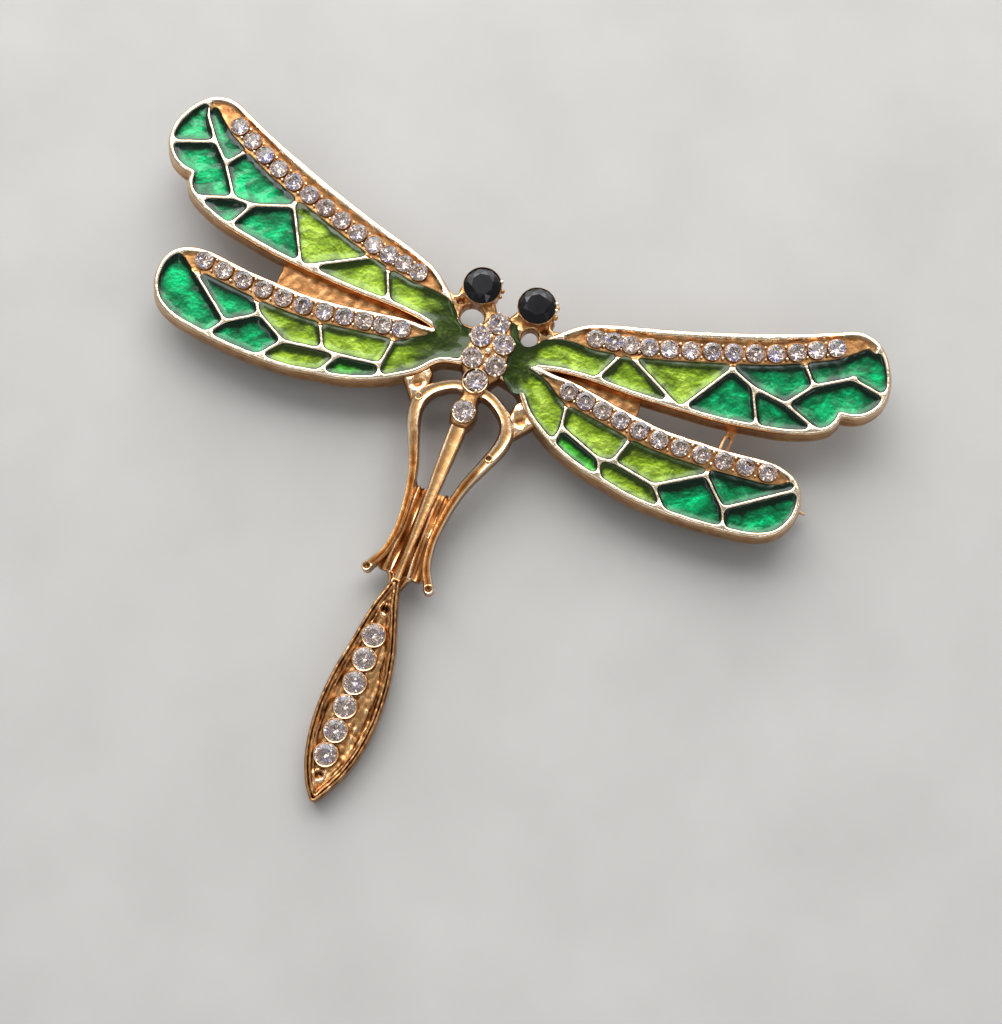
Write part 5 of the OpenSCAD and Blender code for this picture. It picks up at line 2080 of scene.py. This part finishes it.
@dataclass(frozen=True)
class Studio:
    """The camera at the photograph's angle, a pale floor and soft light.

    Args:
        tilt: The camera's turn about the brooch's X.
        swing: Its turn about Y.
        roll: Its turn about the line of sight.
        shift: Its place across the line of sight, in millimetres.
        distance: Its distance, in millimetres.
        dim: Strength of the room above.
        glow: Strength of the room behind the window.
        toward: Direction of the bright side of the room.
        patch: Added strength of the bright patches above.
        key_w: Power of the window in watts.
    """

    tilt: float = -0.17453
    swing: float = -0.06069
    roll: float = -0.37591
    shift: tuple[float, float] = (-0.40712, 20.93751)
    distance: float = 182.85714
    focal_px: float = 1600.0
    width_px: float = 1002.0
    film_mm: float = 36.0
    floor_half_m: float = 3.0
    dim: float = 0.32
    glow: float = 2.4
    toward: tuple[float, float, float] = (-0.35, 0.85, 0.4)
    patch: float = 2.6
    air: str = "#F4F6FA"
    window_m: tuple[float, float, float] = (-0.155, 0.335, 0.29)
    sides_m: tuple[float, float] = (0.6, 0.5)
    key_w: float = 2.8

    def camera(self) -> None:
        """Places the camera as it was fitted to the photograph, over the middle of the rims' plane."""
        turn = Matrix.Rotation(self.roll, 4, "Z") @ Matrix.Rotation(self.tilt, 4, "X")
        turn @= Matrix.Rotation(self.swing, 4, "Y")
        back = turn.inverted()
        at = back @ Vector((-self.shift[0], -self.shift[1], self.distance))
        at.z += SIZES.rim_z
        data = bpy.data.cameras.new("Camera")
        data.sensor_fit, data.sensor_width = "HORIZONTAL", self.film_mm
        data.lens = self.film_mm * self.focal_px / self.width_px
        data.clip_start, data.clip_end = 0.01, 10.0
        camera, laid = put("Camera", data), SIZES.laid()
        spin = laid.to_quaternion().to_matrix().to_4x4() @ back
        camera.matrix_world = Matrix.Translation(laid @ at) @ spin
        bpy.context.scene.camera = camera

    def mirror(self) -> Vector:
        """Finds where the flat of the brooch mirrors the camera.

        Returns:
            The direction.
        """
        normal = SIZES.laid().to_quaternion() @ Vector((0, 0, 1))
        seen = bpy.context.scene.camera.location.normalized()
        return 2 * normal.dot(seen) * normal - seen

    def floor(self) -> None:
        """Lays the floor."""
        mesh, h = bpy.data.meshes.new("floor"), self.floor_half_m
        mesh.from_pydata([(-h, -h, 0), (h, -h, 0), (h, h, 0), (-h, h, 0)], [], [(0, 1, 2, 3)])
        mesh.materials.append(PALE_CARD.material())
        put("floor", mesh)

    def lights(self) -> None:
        """Hangs a soft window over the head side and lights the room."""
        scene = bpy.context.scene
        scene.view_settings.view_transform = "Standard"
        scene.world = bpy.data.worlds.new("Studio")
        scene.world.use_nodes = True
        self.room(scene.world.node_tree)
        data = bpy.data.lights.new("window", "AREA")
        data.shape, data.energy = "RECTANGLE", self.key_w
        data.size, data.size_y = self.sides_m
        lamp, at = put("window", data), Vector(self.window_m)
        lamp.location = at
        lamp.rotation_euler = (-at).to_track_quat("-Z", "Y").to_euler()

    def room(self, tree: Tree) -> None:
        """Makes the room bright behind the window and dim above, with bright patches high up.

        The metal mirrors the patches; none lies where the brooch's flats would mirror it to the camera.

        Args:
            tree: The world's tree.
        """
        smooth = {"interpolation_type": "SMOOTHSTEP"}
        way = tree.nodes.new("ShaderNodeTexCoord").outputs["Generated"]
        toward = node(tree, "ShaderNodeVectorMath", {"operation": "DOT_PRODUCT"}, _0=way, _1=self.toward)
        bright = node(tree, "ShaderNodeMapRange", smooth, Value=toward.outputs["Value"], From_Min=0.5,
                      From_Max=0.85, To_Min=self.dim, To_Max=self.glow)
        cloud = node(tree, "ShaderNodeTexNoise", {}, Vector=way, Scale=4.5, Detail=1.0)
        patch = node(tree, "ShaderNodeMapRange", smooth, Value=cloud, From_Min=0.55, From_Max=0.66,
                     To_Min=0.0, To_Max=self.patch)
        up = node(tree, "ShaderNodeSeparateXYZ", {}, Vector=way)
        high = node(tree, "ShaderNodeMapRange", {}, Value=up.outputs["Z"], From_Min=0.45, From_Max=0.6)
        patch = node(tree, "ShaderNodeMath", {"operation": "MULTIPLY"}, _0=patch, _1=high)
        facing = node(tree, "ShaderNodeVectorMath", {"operation": "DOT_PRODUCT"}, _0=way, _1=self.mirror())
        away = node(tree, "ShaderNodeMapRange", {}, Value=facing.outputs["Value"], From_Min=0.965,
                    From_Max=0.985, To_Min=1.0, To_Max=0.0)
        patch = node(tree, "ShaderNodeMath", {"operation": "MULTIPLY"}, _0=patch, _1=away)
        bright = node(tree, "ShaderNodeMath", {"operation": "ADD"}, _0=bright, _1=patch)
        feed(tree, tree.nodes["Background"], Color=colour(self.air), Strength=bright)


SIZES = Sizes()
# Reach, rise or drop, stones, cells, and how far the stones' trough runs on past the first stone.
WINGS = [Wing(Pair.FORE, side, SIZES.fore_reach, SIZES.fore_rise, 13, 9, 1.3) for side in Side]
WINGS += [Wing(Pair.HIND, side, SIZES.hind_reach, SIZES.hind_drop, 11, 8, 0.4) for side in Side]
# Drawn wire under thin plating: redder than the casting, smoother and with longer waves.
WIRE = CastGold("Plated pin wire", "#7A4A2A", "#A8703F", "#D49A64", "#EBC79A", 0.3, 2.5)
# Lead glass, pressed and polished: its facets bend the view of the foil behind them into bright and dark
# wedges.
CROWN_GLASS = Clouded(
    "Clear cut glass", 1.7, 1.0, ((0.3, "#FBF3EC"), (0.7, "#FFFBF7")),
    {"Transmission_Weight": 1.0, "Roughness": 0.0, "IOR": 1.56},
)
# Silvered backing: a mirror behind the glass, with faint pink and lavender fire painted into its colour in a
# few facets.
STONE_FOIL = Clouded(
    "Silvered foil backing", 0.7, 1.0,
    # Painted fire: the pink and lavender stops.
    ((0.32, "#B5A8A1"), (0.44, "#FEF8F3"), (0.51, "#E6D3C9"), (0.58, "#FFFCF8"), (0.7, "#C4C4EE")),
    {"Metallic": 1.0, "Roughness": 0.03},
)
# Black glass, pressed and polished: its facets show only by what they mirror.
BLACK_GLASS = Clouded(
    "Black cut glass", 1.4, 2.0, ((0.35, "#050506"), (0.65, "#121014")), {"Roughness": 0.03, "IOR": 1.45},
)
# Uncoated card: it scatters the light evenly and shows soft shadows and a faint unevenness.
PALE_CARD = Clouded(
    "Matt card", PER_MM / 60.0, 4.0, ((0.3, "#A4A29E"), (0.7, "#ACAAA6")), {"Roughness": 0.8},
)
# Each tint's deep colour shows where the painted shade is strongest, and its bright colour in the painted
# glints.
ENAMELS = {
    Tint.EMERALD: FoilEnamel("Emerald enamel over foil", "#021C0D", "#00673A", "#02C474"),
    Tint.LIME: FoilEnamel("Lime enamel over foil", "#263408", "#6B8519", "#ACC44E"),
    Tint.GRASS: FoilEnamel("Grass enamel over foil", "#082606", "#389620", "#79D547"),
}


@dataclass(frozen=True)
class Bench:
    """What the pieces are dressed with."""

    nodes: Nodes
    gold: Material = field(default_factory=CastGold().material)
    wire: Material = field(default_factory=WIRE.material)
    enamels: dict[Tint, Material] = field(
        default_factory=lambda: {tint: finish.material() for tint, finish in ENAMELS.items()})
    glass: Material = field(default_factory=CROWN_GLASS.material)
    foil: Material = field(default_factory=STONE_FOIL.material)
    black: Material = field(default_factory=BLACK_GLASS.material)
    setter: Setter = field(default_factory=lambda: Setter(setting_group()))
    bead: Mesh = field(default_factory=bead_mesh)
    cut: Stone = Stone()

    def dress(self, piece: Piece, finish: Material, slot: str, *names: str) -> None:
        """Gives a piece its finish and hides the solids that it stands for.

        Args:
            piece: The piece.
            finish: Its material, unless it has one.
            slot: Its slot; not used.
            *names: The solids that it replaces.
        """
        if not piece.data.materials:
            piece.data.materials.append(finish)
        if names:
            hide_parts(*names)
        LOG.info("%s: %d faces", piece.name, len(piece.data.polygons))

    def cast(self, piece: Piece, *names: str) -> None:
        """Dresses a piece of the casting, which may replace solids."""
        self.dress(piece, self.gold, "cast_gold", *names)

    def pour(self, name: str, shell: Shell, pools: list[Pool], rows: list[Array], dark: float = 0.0) -> None:
        """Makes pours of one tint and dresses them.

        Args:
            name: Name of the wing or root, and of the tint where a wing has several.
            shell: An empty shell of the pours' side.
            pools: The pours.
            rows: Lines of the stones that stand beside them.
            dark: Added painted shade towards the middle of the brooch.
        """
        for pool in pools:
            pool.add(shell, rows, dark)
        tint = pools[0].tint
        names = [name for pool in pools for name in pool.nodes]
        self.dress(shell.build(f"enamel_{name}", 60), self.enamels[tint], f"{tint.value}_enamel", *names)

    def stones(self, name: str, at: Array, size: float, seed: int, lean: float, names: list[str]) -> None:
        """Sets round stones and dresses them; the crowns stand for the solids.

        Args:
            name: Name of the pieces, which the half's name follows.
            at: Centres of the stones.
            size: Their diameter in millimetres.
            seed: Seed of their turns.
            lean: Their largest lean in radians.
            names: The solids that they replace.
        """
        for half, finish in ((Cut.CROWN, self.glass), (Cut.PAVILION, self.foil)):
            shape = self.cut.mesh(half)
            piece = self.setter.place(f"{name}_{half.value}", at, shape, size, finish, seed, lean=lean)
            self.dress(piece, finish, "rhinestone", *(names if half is Cut.CROWN else []))

    def beads(self, name: str, at: Array, size: float, seed: int, unevenness: float) -> None:
        """Sets small beads of metal and dresses them.

        Args:
            name: Name of the piece.
            at: Centres of the beads.
            size: Their diameter in millimetres.
            seed: Seed of their turns.
            unevenness: Largest change of size, as a share.
        """
        self.cast(self.setter.place(name, at, self.bead, size, self.gold, seed, unevenness, 0.2, True))


def main() -> None:
    """Builds the whole scene."""
    logging.basicConfig(level=logging.INFO, format="%(name)s %(message)s")
    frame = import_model()
    studio = Studio()
    studio.camera()
    studio.floor()
    studio.lights()

    bench = Bench(frame["nodes"])
    roots = {side: saddle(side, bench.nodes) for side in Side}
    for seed, wing in enumerate(WINGS, 10):
        wing.dress(bench, roots[wing.side].loop, seed)
    for side, pool in roots.items():
        rows = [wing.row() for wing in WINGS if wing.side is side]
        # The roots get painted shade towards the middle of the brooch.
        bench.pour(f"{side.word}_root", Shell(side), [pool], rows, 0.8)
    Head().dress(bench, {side: pool.loop for side, pool in roots.items()})
    for part in (Thorax(), Legs(), Tail(), Webs(), PinSet()):
        part.dress(bench)


if __name__ == "__main__":
    main()
